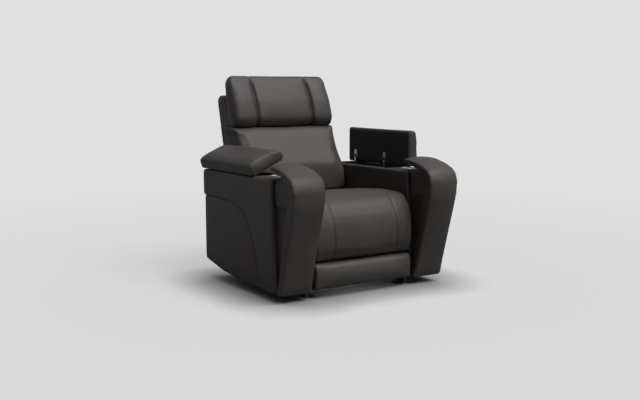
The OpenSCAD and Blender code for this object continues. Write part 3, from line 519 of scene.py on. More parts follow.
@dataclass(frozen=True)
class Finish:
    """A surface with its colour, gloss and relief.

    Attributes:
        name: Name of the material.
        colour: Base colour, linear.
        roughness: Mean roughness.
        metallic: 1 on bare metal.
        mottle: How much the colour varies.
        grain: Height of the relief in metres.
        pitch: Size of one grain in metres.
        gleam: Strength of the mirror-like part on what isn't metal.
    """

    name: str
    colour: tuple[float, float, float]
    roughness: float
    metallic: float = 0.0
    mottle: float = 0.12
    grain: float = 0.0
    pitch: float = 0.001
    gleam: float = 0.5

    def build(self) -> bpy.types.Material:
        """Makes the material.

        Returns:
            The material.
        """
        material = bpy.data.materials.new(self.name)
        material.use_nodes = True
        weave = Weave(material)
        fixed = {"Metallic": self.metallic, "Specular IOR Level": self.gleam}
        weave.feed(weave.tree.nodes["Principled BSDF"], fixed | self.surface(weave))
        return material

    def surface(self, weave: Weave) -> dict[str, Socket]:
        """A mottled colour, uneven gloss and a fine relief.

        Args:
            weave: Adds the nodes.

        Returns:
            What each of the shader's inputs gets.
        """
        slow = weave.noise(6.0, 4.0)
        return {
            "Base Color": self.tones(weave, slow),
            "Roughness": weave.spread(slow, self.roughness * 0.88, self.roughness * 1.12),
            "Normal": weave.relief(weave.noise(1.0 / self.pitch, 3.0), self.grain),
        }

    def tones(self, weave: Weave, by: Socket) -> Socket:
        """The colour, darker and lighter by a value."""
        return weave.blend_colours(by, self.shade(1 - self.mottle), self.shade(1 + self.mottle))

    def shade(self, factor: float) -> tuple[float, float, float, float]:
        """The colour made darker or lighter."""
        return (*(min(1.0, c * factor) for c in self.colour), 1.0)


@dataclass(frozen=True)
class Leather(Finish):
    """Pebbled upholstery leather, with shade painted into its pressed seams."""

    wrinkle: float = 0.0007

    def surface(self, weave: Weave) -> dict[str, Socket]:
        """Pebbles, pores, slow wrinkles and shade painted into the seams.

        Args:
            weave: Adds the nodes.

        Returns:
            What each of the shader's inputs gets.
        """
        slow = weave.noise(5.0, 5.0)
        pebbles = weave.spread(weave.cells(1.0 / self.pitch), 0.0, 1.0, 0.0, 0.22)
        wrinkles = weave.noise(22.0, 6.0, (1, 1.6, 1))
        # Painted shade: the colour is darkened where the surface was pressed into seams and channels.
        seams = weave.darken(self.tones(weave, slow), weave.mark("crease"), 0.45)
        pores = weave.spread(pebbles, 0.35, 0.0, 0.0, 0.5)
        return {
            "Base Color": weave.darken(seams, pores, 0.55),
            "Roughness": weave.spread(slow, self.roughness * 0.86, self.roughness * 1.14),
            "Normal": weave.relief(pebbles, self.grain, weave.relief(wrinkles, self.wrinkle)),
        }


@dataclass(frozen=True)
class Metal(Finish):
    """Bare metal with fine brushed or plated marks along one axis."""

    stretch: tuple[float, float, float] = (1.0, 0.06, 1.0)

    def surface(self, weave: Weave) -> dict[str, Socket]:
        """A cloudy tone under fine marks.

        Args:
            weave: Adds the nodes.

        Returns:
            What each of the shader's inputs gets.
        """
        marks = weave.noise(1.0 / self.pitch, 3.0, self.stretch)
        return {
            "Base Color": self.tones(weave, weave.noise(14.0, 4.0)),
            "Roughness": weave.spread(marks, self.roughness * 0.75, self.roughness * 1.3),
            "Normal": weave.relief(marks, self.grain),
        }


@dataclass(frozen=True)
class Ply(Finish):
    """Plywood with long grain and darker rings."""

    dark: tuple[float, float, float] = (0.30, 0.19, 0.10)

    def surface(self, weave: Weave) -> dict[str, Socket]:
        """Dark rings and fibres.

        Args:
            weave: Adds the nodes.

        Returns:
            What each of the shader's inputs gets.
        """
        rings = weave.noise(28.0, 6.0, (1, 0.12, 1))
        fibres = weave.noise(1.0 / self.pitch, 3.0, (1, 0.05, 1))
        return {
            "Base Color": weave.blend_colours(rings, (*self.dark, 1.0), (*self.colour, 1.0)),
            "Roughness": weave.spread(fibres, 0.55, 0.8),
            "Normal": weave.relief(fibres, self.grain),
        }


class Weave:
    """Adds nodes to a material or the world and links them."""

    def __init__(self, owner: bpy.types.Material | bpy.types.World) -> None:
        """Starts from the place on the object.

        Args:
            owner: The material or world to add to.
        """
        self.tree = owner.node_tree
        self.place = self.add("TexCoord", {}, "Object")

    def feed(self, node: bpy.types.Node, inputs: dict[str | int, object]) -> None:
        """Links or sets a node's inputs.

        Args:
            node: The node.
            inputs: What each input gets, another node's output or a value.
        """
        for name, value in inputs.items():
            if isinstance(value, Socket):
                self.tree.links.new(value, node.inputs[name])
            else:
                node.inputs[name].default_value = value

    def add(self, kind: str, inputs: dict[str | int, object], output: str, **settings: object) -> Socket:
        """Adds a node.

        Args:
            kind: Blender's name of the node without its prefix.
            inputs: What each input gets.
            output: Name of the output that is read.
            **settings: The node's own settings.

        Returns:
            The output.
        """
        node = self.tree.nodes.new(f"ShaderNode{kind}")
        for name, value in settings.items():
            setattr(node, name, value)
        self.feed(node, inputs)
        return node.outputs[output]

    def noise(self, scale: float, detail: float, stretch: Sequence[float] = (1, 1, 1)) -> Socket:
        """Cloudy noise.

        Args:
            scale: Clouds in a metre.
            detail: How fine it gets.
            stretch: Scale along each axis, for brushed marks.

        Returns:
            The noise from 0 to 1.
        """
        place = self.add("Mapping", {"Vector": self.place, "Scale": stretch}, "Vector")
        return self.add("TexNoise", {"Vector": place, "Scale": scale, "Detail": detail}, "Fac")

    def cells(self, scale: float) -> Socket:
        """Distance to the edge of the pebbles in a hide's grain."""
        inputs = {"Vector": self.place, "Scale": scale}
        return self.add("TexVoronoi", inputs, "Distance", feature="DISTANCE_TO_EDGE")

    def mark(self, name: str) -> Socket:
        """A value stored on the mesh's points."""
        return self.add("Attribute", {}, "Fac", attribute_name=name)

    def spread(self, source: Socket, low: float, high: float, start: float = 0.3, end: float = 0.7) -> Socket:
        """Maps a value from start..end to low..high."""
        ends = {"From Min": start, "From Max": end, "To Min": low, "To Max": high}
        return self.add("MapRange", {"Value": source} | ends, "Result")

    def sum(self, how: str, first: Socket, second: Socket | float) -> Socket:
        """One value worked out from two, the second of which may be a number."""
        return self.add("Math", {0: first, 1: second}, "Value", operation=how)

    def blend_colours(self, by: Socket, low: Sequence[float], high: Sequence[float]) -> Socket:
        """A colour between two.

        Args:
            by: A value around one half.
            low: The colour where the value is low.
            high: The colour where it is high.

        Returns:
            The colour.
        """
        colour = self.add("ValToRGB", {"Fac": by}, "Color")
        for element, place, tone in zip(colour.node.color_ramp.elements, (0.35, 0.65), (low, high)):
            element.position = place
            element.color = tone
        return colour

    def darken(self, colour: Socket, by: Socket, most: float) -> Socket:
        """Darkens a colour where a value is high."""
        inputs = {"Factor": by, "A": colour, "B": (most, most, most, 1)}
        return self.add("Mix", inputs, "Result", data_type="RGBA", blend_type="MULTIPLY")

    def relief(self, height: Socket, depth: float, under: Socket | None = None) -> Socket:
        """A bump of a given depth, over another one if given."""
        below = {} if under is None else {"Normal": under}
        return self.add("Bump", {"Strength": 1.0, "Distance": depth, "Height": height} | below, "Normal")

    def show(self, share: Socket, first: Socket, second: Socket, output: str) -> None:
        """Sends a mix of two shaders to an output.

        Args:
            share: Share of the second shader.
            first: The first shader.
            second: The second shader.
            output: Name of the output node.
        """
        mixed = self.add("MixShader", {0: share, 1: first, 2: second}, "Shader")
        self.feed(self.tree.nodes[output], {"Surface": mixed})


FINISHES: dict[str, Finish] = {
    "leather": Leather("charcoal_leather", (0.056, 0.050, 0.045), 0.47, mottle=0.09, grain=0.00018,
                       pitch=0.0022, gleam=0.36),
    "wood": Ply("frame_plywood", (0.52, 0.37, 0.21), 0.7, grain=0.00015, pitch=0.0009),
    "black_paint": Finish("black_powder_coat", (0.018, 0.018, 0.019), 0.48, grain=0.00008, pitch=0.0009),
    "plated_steel": Metal("zinc_plate", (0.62, 0.63, 0.64), 0.27, 1.0, 0.06, 0.00003, 0.0012),
    "stainless": Metal("brushed_stainless", (0.56, 0.56, 0.56), 0.30, 1.0, 0.04, 0.00002, 0.0008,
                       stretch=(1, 1, 0.08)),
    "bin_plastic": Finish("bin_plastic", (0.014, 0.014, 0.015), 0.55, grain=0.0001, pitch=0.0012),
    "lid_lining": Finish("lid_lining", (0.016, 0.016, 0.017), 0.75, grain=0.0002, pitch=0.0010),
    "black_plastic": Finish("switch_plastic", (0.016, 0.016, 0.018), 0.32, grain=0.00003, pitch=0.0008),
    "button_plastic": Finish("button_plastic", (0.11, 0.11, 0.12), 0.40, grain=0.00003, pitch=0.0008),
    "nylon": Finish("roller_nylon", (0.03, 0.03, 0.03), 0.42, grain=0.00003, pitch=0.001),
}


class Wardrobe:
    """Holds each finish once and dresses pieces in it."""

    def __init__(self) -> None:
        """Makes every finish."""
        self.made = {slot: finish.build() for slot, finish in FINISHES.items()}

    def dress(self, piece: Piece, slot: str, body: str, *nodes: str) -> None:
        """Gives a piece its finish, its body and the nodes that it stands for.

        Args:
            piece: The new piece.
            slot: The material slot.
            body: The body that it rides on.
            *nodes: The nodes that it replaces.
        """
        piece.data.materials.clear()
        piece.data.materials.append(self.made[slot])
        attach(piece, body)
        if nodes:
            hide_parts(*nodes)
        LOG.info("%s rides on %s in %s", piece.name, body, slot)

    def dress_frame(self, frame: dict) -> None:
        """Gives every node of the mechanism its finish.

        Args:
            frame: The loaded frame.
        """
        slots = {part["node"]: part["material_slot"] for part in frame["record"]["subparts"]}
        for name, piece in frame["nodes"].items():
            for place in piece.material_slots:
                place.link = "OBJECT"
                place.material = self.made[slots[name]]


# Sub-assemblies


@dataclass
class SeatPads:
    """The seat cushion, the long leg pad that wraps its roll, and the foot pad.

    Attributes:
        half: Half the width of the pads.
        half_low: Half the width of the seat cushion low down, beside the rods of the leg rest.
        pivot: Leg rest pivot, which is the middle of the roll.
        roll: Radius of the leather on the roll; not used.
        core: Radius of the roll under the leg pad.
        seam: Distance of the lengthwise seams from the middle.
        voxel: Size of the mesh faces before they are divided.
        rear: Rear end of the seat cushion.
        top: Height of its front top.
        low: Height of its underside.
        step: Place of the cross seam between seat and leg pad.
        face: Front of both leg pads.
        pad_rear: Rear of both leg pads.
        chaise_low: Lower edge of the long leg pad.
        foot_low: Lower edge of the foot pad.
        foot_high: Its upper edge.
        made: The three pads.
    """

    half: float = 0.292
    half_low: float = 0.278
    pivot: Point = (-0.295, 0.400)
    roll: float = 0.1025
    core: float = 0.071
    seam: float = 0.190
    voxel: float = 0.0065
    rear: float = 0.246
    top: float = 0.483
    low: float = 0.411
    step: float = -0.281
    face: float = -0.390
    pad_rear: float = -0.336
    chaise_low: float = 0.177
    foot_low: float = 0.038
    foot_high: float = 0.175
    made: list[Piece] = field(default_factory=list)

    def seat(self) -> Piece:
        """The seat cushion, cut back at the front for the leg pad.

        Returns:
            The cushion before it is filled.
        """
        outline = rounded([
            (-0.222, 0.347, 0), (-0.222, self.low, 0.006), (self.rear, self.low, 0.016),
            (self.rear, 0.446, 0.014),
            (0.140, 0.450, 0.15), (-0.010, 0.468, 0.3), (-0.190, self.top - 0.002, 0.2),
            (self.step, self.top, 0.005), (self.step, self.pivot[1] + self.core - 0.003, 0),
        ]) + turn(self.pivot, self.core - 0.001, 82, 222, 18)
        piece = prism("seat_cushion_cover", outline, -self.half, self.half, Along.X)
        soften(piece, self.voxel, 5)
        points = places(piece)
        points[:, 0] *= np.interp(points[:, 2], [0.436, 0.456], [self.half_low / self.half, 1.0])
        put(piece, points)
        return piece

    def chaise(self) -> Piece:
        """The leg pad, which climbs over the roll and ends at the cross seam on top.

        Returns:
            The pad before it is filled.
        """
        front = self.face
        outline = rounded([
            (self.step - 0.0015, self.pivot[1] + self.core, 0), (self.step - 0.0015, self.top, 0.004),
            (-0.328, self.top - 0.008, 0.10), (-0.360, 0.446, 0.10), (front + 0.008, 0.403, 0.15),
            (front - 0.006, 0.350, 0.2), (front - 0.012, 0.298, 0.2), (front - 0.008, 0.240, 0.15),
            (front + 0.008, self.chaise_low, 0.016),
            (self.pad_rear, self.chaise_low, 0.008), (self.pad_rear, 0.342, 0),
        ]) + turn(self.pivot, self.core, 235, 85, 22)
        piece = prism("chaise_cover", outline, -self.half, self.half, Along.X)
        soften(piece, self.voxel, 4)
        return piece

    def foot(self) -> Piece:
        """The low foot pad.

        Returns:
            The pad before it is filled.
        """
        front = self.face
        outline = rounded([
            (front + 0.002, self.foot_low, 0.022), (self.pad_rear, self.foot_low, 0.008),
            (self.pad_rear, self.foot_high, 0.008), (front + 0.002, self.foot_high, 0.030),
            (front - 0.006, (self.foot_low + self.foot_high) / 2, 0.06),
        ])
        piece = prism("foot_pad_cover", outline, -self.half, self.half, Along.X)
        soften(piece, self.voxel, 6)
        return piece

    def wrap(self) -> Piece:
        """The leather round the edges of the leg board.

        Returns:
            The finished shape.
        """
        low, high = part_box("leg_board")
        outline = rounded([
            (low.y - 0.004, low.z - 0.003, 0.006), (high.y + 0.001, low.z - 0.003, 0.006),
            (high.y + 0.001, high.z + 0.002, 0.006), (low.y - 0.004, high.z + 0.002, 0.006),
        ])
        piece = prism("leg_board_cover", outline, low.x - 0.0012, high.x + 0.0012, Along.X)
        finish_with(piece, "BEVEL", width=0.004, segments=3, limit_method="ANGLE")
        return piece

    def start(self) -> list[Stuffing]:
        """Makes the three pads.

        Returns:
            Their stuffing.
        """
        self.made = [self.seat(), self.chaise(), self.foot()]
        middle = np.array(self.pivot)

        def seat_held(p: Rows) -> Rows:
            """Held underneath and where the leg pad covers it."""
            return ((p[:, 2] < self.low + 0.012) | (p[:, 1] < self.step + 0.02)).astype(float)

        def chaise_held(p: Rows) -> Rows:
            """Held on the roll, on the board and at the cross seam.

            Args:
                p: The points, one row each.

            Returns:
                How firmly each is held.
            """
            reach = np.linalg.norm(p[:, 1:] - middle, axis=1)
            inside = reach < self.core + 0.006
            behind = (p[:, 1] > self.pad_rear - 0.008) & (p[:, 2] < 0.32)
            return (inside | behind | (p[:, 1] > self.pivot[0] - 0.006)).astype(float)

        def foot_held(p: Rows) -> Rows:
            """Held on the board."""
            return (p[:, 1] > self.pad_rear - 0.008).astype(float)

        return [
            Stuffing(self.made[0], 4.0, 0.009, seat_held),
            Stuffing(self.made[1], 4.0, 0.009, chaise_held),
            Stuffing(self.made[2], 4.0, 0.010, foot_held),
        ]

    def finish(self, wardrobe: Wardrobe) -> None:
        """Sews the seams and puts the seat pad, the foot pad and the board's wrap on their bodies; the leg
        pad stays where it is made.

        Args:
            wardrobe: The finishes.
        """
        seat, chaise, foot = self.made

        def seams(p: Rows) -> Rows:
            """The two lengthwise seams."""
            return channel(np.abs(np.abs(p[:, 0]) - self.seam), 0.0030, 0.0045)

        for piece in (seat, chaise, foot):
            finish_with(piece, "SUBSURF", levels=1, render_levels=1)
            uneven(piece, 0.0022, 0.09)
        press(seat, seams)
        press(chaise, seams)
        press(foot)
        wardrobe.dress(seat, "leather", "seat", "seat_cushion")
        wardrobe.dress(foot, "leather", "leg", "foot_pad")
        wrap = self.wrap()
        press(wrap)
        wardrobe.dress(wrap, "leather", "leg", "leg_board")
        chaise.data.materials.clear()
        chaise.data.materials.append(wardrobe.made["leather"])
        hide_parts("chaise_pad")
        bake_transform(chaise)


@dataclass
class BackPads:
    """The outer back, the lumbar cushion and the headrest.

    Attributes:
        foot: Lowest front point of the back's rake.
        rake: How far the back leans for each unit of height.
        half: Half the width of the outer back.
        deep: Thickness of the outer back.
        low: Its lower edge.
        high: Its upper edge.
        lumbar_half: Half the width of the lumbar cushion.
        lumbar_low: Height at which the lumbar cushion is fixed while it is squashed; not used.
        lumbar_top: Its upper edge.
        lumbar_keep: Share of its height that it keeps under the tilted headrest; not used.
        head_half: Half the width of the headrest.
        head_seam: Distance of the headrest's seams from the middle.
        made: The lumbar cushion and the headrest.
    """

    foot: Point = (0.386, 0.450)
    rake: float = 0.241
    half: float = 0.304
    deep: float = 0.110
    low: float = 0.460
    high: float = 0.974
    lumbar_half: float = 0.316
    lumbar_low: float = 0.496
    lumbar_top: float = 0.813
    lumbar_keep: float = 0.88
    head_half: float = 0.315
    head_seam: float = 0.177
    made: list[Piece] = field(default_factory=list)

    def lean(self, height: float) -> float:
        """Front of the outer back at a height."""
        return self.foot[0] + (height - self.foot[1]) * self.rake

    def shell(self) -> Piece:
        """The upholstered outer back.

        Returns:
            The finished shape.
        """
        outline = rounded([
            (self.lean(self.low), self.low, 0.02), (self.lean(self.low) + self.deep, self.low, 0.02),
            (self.lean(self.high) + self.deep, self.high, 0.035), (self.lean(self.high), self.high, 0.03),
        ])
        piece = prism("outer_back_cover", outline, -self.half, self.half, Along.X)
        soften(piece, 0.009, 5)
        finish_with(piece, "SUBSURF", levels=1, render_levels=1)
        uneven(piece, 0.002, 0.12)
        return piece

    def lumbar(self) -> Piece:
        """The lumbar cushion.

        Returns:
            The cushion before it is filled.
        """
        outline = rounded([
            (0.232, 0.443, 0.018), (0.276, 0.446, 0.012), (0.322, 0.490, 0.02),
            (self.lean(0.498), 0.497, 0.02), (self.lean(0.770), 0.770, 0.024),
            (self.lean(0.770) - 0.020, self.lumbar_top, 0.022), (0.378, self.lumbar_top, 0.034),
            (0.350, 0.765, 0.2), (0.324, 0.720, 0.2), (0.299, 0.678, 0.2), (0.274, 0.637, 0.2),
            (0.252, 0.600, 0.2), (0.236, 0.566, 0.2), (0.226, 0.530, 0.2), (0.223, 0.492, 0.1),
        ])
        piece = prism("lumbar_cover", outline, -self.lumbar_half, self.lumbar_half, Along.X)
        soften(piece, 0.0065, 6)
        turn_away(piece, self.lumbar_half, 0.024, self.lean, 0.06)
        points = places(piece)
        points[:, 0] *= 1 + np.interp(points[:, 2], [0.60, 0.66, 0.79], [0.0, 0.012, 0.055])
        put(piece, points)
        return piece

    def head(self) -> Piece:
        """The headrest in three panels.

        Returns:
            The cushion before it is filled.
        """
        outline = rounded([
            (0.374, 0.806, 0.028), (0.456, 0.804, 0.020), (0.468, 0.848, 0.08), (0.492, 1.010, 0.08),
            (0.497, 1.068, 0.025), (0.480, 1.086, 0.020), (0.457, 1.076, 0.030), (0.384, 0.946, 0.15),
            (0.354, 0.850, 0.042),
        ])
        piece = prism("headrest_cover", outline, -self.head_half, self.head_half, Along.X)
        front = rounded([
            (-self.head_half - 0.001, 0.795, 0.022), (self.head_half + 0.001, 0.795, 0.022),
            (self.head_half + 0.001, 1.095, 0.070), (-self.head_half - 0.001, 1.095, 0.070),
        ], 8)
        carve(piece, prism("headrest_front", front, 0.30, 0.60, Along.Y), "INTERSECT")
        soften(piece, 0.006, 5)
        turn_away(piece, self.head_half, 0.022, lambda z: 0.470 + (z - 0.848) * 0.12, 0.06)
        side = (self.head_half + self.head_seam) / 2

        def below_top(p: Rows) -> Rows:
            """Less swell towards the upper edge."""
            return np.clip((1.06 - p[:, 2]) / 0.05, 0, 1)

        crown(piece, 0, 0.0, self.head_seam, 0.006, below_top)
        for middle in (side, -side):
            crown(piece, 0, middle, side - self.head_seam, 0.007, below_top)
        return piece

    def start(self) -> list[Stuffing]:
        """Makes the cushions.

        Returns:
            Their stuffing.
        """
        self.made = [self.lumbar(), self.head()]

        def lumbar_held(p: Rows) -> Rows:
            """Held at the rear and low down."""
            rear = p[:, 1] > self.lean(p[:, 2]) - 0.012
            return (rear | (p[:, 2] < 0.465) | ((p[:, 2] < 0.505) & (p[:, 1] > 0.262))).astype(float)

        def head_held(p: Rows) -> Rows:
            """Held in the seams, at the rear and underneath.

            Args:
                p: The points, one row each.

            Returns:
                How firmly each is held.
            """
            seam = np.abs(np.abs(p[:, 0]) - self.head_seam) < 0.005
            rear = p[:, 1] > 0.462 + (p[:, 2] - 0.848) * 0.15
            return (seam | (rear & (p[:, 2] < 1.05)) | (p[:, 2] < 0.812)).astype(float)

        return [
            Stuffing(self.made[0], 4.0, 0.014, lumbar_held),
            Stuffing(self.made[1], 6.0, 0.016, head_held),
        ]

    def finish(self, wardrobe: Wardrobe) -> None:
        """Sews the seams and puts the cushions on their bodies.

        Args:
            wardrobe: The finishes.
        """
        lumbar, head = self.made
        shell = self.shell()
        for piece in (lumbar, head):
            finish_with(piece, "SUBSURF", levels=1, render_levels=1)
            uneven(piece, 0.0022, 0.09)

        def quilting(p: Rows) -> Rows:
            """Wide channels that fade towards their ends.

            Args:
                p: The points, one row each.

            Returns:
                The depth at each.
            """
            seam = np.abs(np.abs(p[:, 0]) - self.head_seam)
            ends = np.clip((1.082 - p[:, 2]) / 0.05, 0.25, 1) * np.clip((p[:, 2] - 0.785) / 0.05, 0.25, 1)
            return (channel(seam, 0.0070, 0.0130) + channel(seam, 0.0050, 0.0040)) * ends

        press(head, quilting)
        press(lumbar)
        press(shell, lambda p: channel(np.abs(np.abs(p[:, 0]) - 0.215), 0.0025, 0.004) * (p[:, 1] > 0.47))
        wardrobe.dress(shell, "leather", "back", "back_shell")
        wardrobe.dress(lumbar, "leather", "back", "lumbar_cushion")
        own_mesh(lumbar)
        wardrobe.dress(head, "leather", "head", "head_cushion")


@dataclass
class Arms:
    """The two padded arms with their bands, gussets, lids and fittings.

    All shapes are made on the right side and mirrored for the left.

    Attributes:
        inner: Inner face of the arm.
        outer: Outer face of the arm.
        front: Front of the arm box.
        height: Height of the arm box.
        hinge: Hinge line of the lid, across the seat and up.
        lid_low: Underside of the closed lid.
        lid_thick: Thickness of the lid.
        lid_front: Front end of the lid.
        lid_rear: Rear end of the lid.
        lid_in: Inner edge of the closed lid.
        lid_out: Outer edge of the closed lid.
        lid_plate: Plan of the lid's flat underside.
        lid_rim: Width of leather round the lid's board.
        hinge_ys: Places of the two hinges along the lid.
        cup_radius: Radius of the opening for the cup holder.
        opened: How far each lid stands open.
        made: The right arm's pieces, by name.
    """

    inner: float = 0.317
    outer: float = 0.495
    front: float = -0.348
    height: float = 0.588
    hinge: Point = (0.482, 0.607)
    lid_low: float = 0.593
    lid_thick: float = 0.067
    lid_front: float = -0.150
    lid_rear: float = 0.422
    lid_in: float = 0.299
    lid_out: float = 0.503
    lid_plate: tuple[float, float, float, float] = (0.312, -0.152, 0.500, 0.422)
    lid_rim: float = 0.0085
    hinge_ys: Point = (0.0719, 0.346)
    cup_radius: float = 0.0405
    opened: dict[Side, float] = field(default_factory=lambda: {Side.LEFT: 25.0, Side.RIGHT: 90.0})
    made: dict[str, Piece] = field(default_factory=dict)

    @property
    def side_outline(self) -> Outline:
        """Side view of the arm box."""
        return rounded([
            (-0.351, 0.041, 0.012), (-0.060, 0.042, 0.30), (0.200, 0.064, 0.25), (0.397, 0.104, 0.014),
            (0.401, 0.446, 0.006), (0.412, 0.456, 0.012), (0.411, 0.586, 0.012), (-0.318, 0.592, 0.012),
        ], 6)

    @property
    def seam(self) -> Outline:
        """The seam that swings from the rear of the side down to its front foot."""
        return rounded([
            (0.470, 0.4495, 0), (0.190, 0.450, 0.50), (0.071, 0.440, 0.25), (0.010, 0.427, 0.12),
            (-0.040, 0.406, 0.12), (-0.081, 0.366, 0.15), (-0.110, 0.322, 0.20), (-0.132, 0.276, 0.30),
            (-0.173, 0.173, 0.40), (-0.200, 0.100, 0.40), (-0.230, 0.040, 0), (-0.290, -0.100, 0),
        ], 6)

    @property
    def band_outline(self) -> Outline:
        """Side view of the front band."""
        return rounded([
            (-0.388, 0.037, 0.012), (-0.352, 0.037, 0.008), (-0.460, 0.530, 0.055), (-0.440, 0.578, 0.080),
            (-0.395, 0.607, 0.100), (-0.330, 0.629, 0.12), (-0.294, 0.634, 0.007), (-0.291, 0.652, 0.010),
            (-0.355, 0.648, 0.2), (-0.432, 0.633, 0.15), (-0.495, 0.603, 0.075), (-0.518, 0.552, 0.07),
            (-0.511, 0.475, 0.3), (-0.478, 0.350, 0.6),
        ], 8)

    def above_seam(self, name: str, low: float, high: float) -> Piece:
        """A block of everything above and before the side seam.

        Args:
            name: Name of the block.
            low: Where it starts across the seat.
            high: Where it ends.

        Returns:
            The block.
        """
        line = self.seam
        far = [(-0.9, line[-1][1]), (-0.9, 1.0), (line[0][0], 1.0)]
        return prism(name, line + far, low, high, Along.X)

    def box(self) -> Piece:
        """The arm box in padded leather.

        Returns:
            The shape before its pockets are cut.
        """
        piece = prism("arm_cover_right", self.side_outline, self.inner, self.outer, Along.X)
        section = rounded([
            (self.inner, 0.0, 0), (self.outer, 0.0, 0), (self.outer, self.height + 0.003, 0.016),
            (self.inner, self.height + 0.003, 0.012),
        ], 6)
        carve(piece, prism("arm_section", section, -0.6, 0.6, Along.Y), "INTERSECT")
        plan = rounded([
            (self.inner, self.front - 0.01, 0.012), (self.outer, self.front - 0.01, 0.034),
            (self.outer, 0.412, 0.012), (self.inner, 0.412, 0.012),
        ], 7)
        carve(piece, prism("arm_plan", plan, -0.1, 0.7, Along.Z), "INTERSECT")
        low = self.seam + [(0.9, -0.1), (0.9, self.seam[0][1])]
        carve(piece, prism("below_seam", low, self.outer - 0.014, self.outer + 0.05, Along.X))
        soften(piece, 0.0076, 3)
        return piece

    def from_seam(self, points: Rows) -> Rows:
        """Distance of points from the side seam, seen from the side.

        Args:
            points: The points, one row each.

        Returns:
            The distance of each.
        """
        line = np.array(self.seam)
        flat = points[:, 1:]
        nearest = np.full(len(points), np.inf)
        for start, end in zip(line[:-1], line[1:]):
            step = end - start
            share = np.clip(((flat - start) @ step) / (step @ step), 0, 1)
            nearest = np.minimum(nearest, np.linalg.norm(flat - start - share[:, None] * step, axis=1))
        return nearest

    def swell(self, piece: Piece, height: float, reach: float) -> None:
        """Pushes the outer face out away from the side seam, as padding does.

        Args:
            piece: The piece to change.
            height: How far it is pushed.
            reach: Distance from the seam at which it is pushed fully.
        """
        points = places(piece)
        share = 1 - np.exp(-self.from_seam(points) / reach)
        edge = np.minimum(points[:, 2] - 0.03, 0.60 - points[:, 2])
        share *= np.clip(edge / 0.08, 0, 1) * np.clip((0.408 - points[:, 1]) / 0.05, 0, 1)
        points[:, 0] += height * share * (points[:, 0] > self.outer - 0.030)
        put(piece, points)

    def panel(self) -> Piece:
        """The lower side panel inside the seam.

        Returns:
            The shape.
        """
        low, high = self.outer - 0.030, self.outer - 0.0040
        piece = prism("side_panel_cover_right", self.side_outline, low, high, Along.X)
        cutter = self.above_seam("above", self.outer - 0.06, self.outer + 0.01)
        points = places(cutter)
        points[:, 1] += 0.0016
        points[:, 2] -= 0.0016
        put(cutter, points)
        carve(piece, cutter)
        soften(piece, 0.0065, 9)
        return piece

    def band(self) -> Piece:
        """The front band.

        Returns:
            The shape before it is filled.
        """
        low, high = self.inner - 0.004, self.outer + 0.001
        piece = prism("front_band_cover_right", self.band_outline, low, high, Along.X)
        soften(piece, 0.006, 8)
        middle = (self.inner + self.outer) / 2
        crown(piece, 0, middle, (self.outer - self.inner) / 2, 0.009, lambda p: p[:, 2] / 0.66)
        return piece

    def gusset(self) -> Piece:
        """The recessed wall between the arm box and the band.

        Returns:
            The shape.
        """
        outline = rounded([
            (-0.372, 0.052, 0), (-0.335, 0.052, 0), (-0.305, 0.584, 0), (-0.425, 0.592, 0),
            (-0.448, 0.568, 0.02), (-0.472, 0.530, 0.03),
        ])
        piece = prism("gusset_cover_right", outline, self.inner + 0.022, self.outer - 0.022, Along.X)
        soften(piece, 0.007, 3)
        return piece

    def patch(self, name: str, low: float, high: float) -> Piece:
        """A padded patch high on one face of the gusset.

        Args:
            name: Name of the piece.
            low: Where it starts across the seat.
            high: Where it ends.

        Returns:
            The shape.
        """
        outline = rounded([
            (-0.452, 0.460, 0.014), (-0.338, 0.460, 0.014), (-0.324, 0.574, 0.014), (-0.428, 0.580, 0.02),
            (-0.454, 0.530, 0.03),
        ])
        piece = prism(name, outline, low, high, Along.X)
        soften(piece, 0.005, 22)
        finish_with(piece, "SUBSURF", levels=1, render_levels=1)
        return piece

    def lid(self) -> Piece:
        """The padded lid, closed.

        Returns:
            The shape before it is filled.
        """
        high = self.lid_low + self.lid_thick
        section = rounded([
            (self.lid_in, self.lid_low + 0.001, 0.018), (self.lid_out, self.lid_low + 0.001, 0.007),
            (self.lid_out, high - 0.010, 0.020), (self.lid_out - 0.05, high - 0.001, 0.2),
            (self.lid_in + 0.07, high - 0.003, 0.2), (self.lid_in, high - 0.020, 0.016),
        ], 6)
        piece = prism("lid_cover_right", section, self.lid_front, self.lid_rear, Along.Y)
        nose = rounded([
            (self.lid_front + 0.010, self.lid_low, 0.010), (self.lid_rear, self.lid_low, 0.008),
            (self.lid_rear, high + 0.002, 0.026), (self.lid_front + 0.006, high + 0.002, 0.022),
            (self.lid_front, high - 0.026, 0.03),
        ], 6)
        carve(piece, prism("lid_nose", nose, self.lid_in - 0.01, self.lid_out + 0.01, Along.X), "INTERSECT")
        inner, outer = self.lid_in - 0.001, self.lid_out + 0.001
        plan = rounded([
            (inner, self.lid_front - 0.001, 0.024), (outer, self.lid_front - 0.001, 0.020),
            (outer, self.lid_rear + 0.001, 0.014), (inner, self.lid_rear + 0.001, 0.016),
        ], 6)
        carve(piece, prism("lid_plan", plan, self.lid_low - 0.02, high + 0.02, Along.Z), "INTERSECT")
        soften(piece, 0.006, 5)
        return piece

    def start(self) -> list[Stuffing]:
        """Makes the right arm's leather.

        Returns:
            The stuffing of its padded pieces.
        """
        self.made = {
            "box": self.box(), "panel": self.panel(), "band": self.band(), "gusset": self.gusset(),
            "lid": self.lid(),
        }

        def band_held(p: Rows) -> Rows:
            """Held at the tip and at the foot."""
            return ((p[:, 1] > -0.300) | (p[:, 2] < 0.056)).astype(float)

        def lid_held(p: Rows) -> Rows:
            """Held underneath."""
            return (p[:, 2] < self.lid_low + 0.008).astype(float)

        return [
            Stuffing(self.made["band"], 4.0, 0.005, band_held),
            Stuffing(self.made["lid"], 5.0, 0.007, lid_held),
        ]

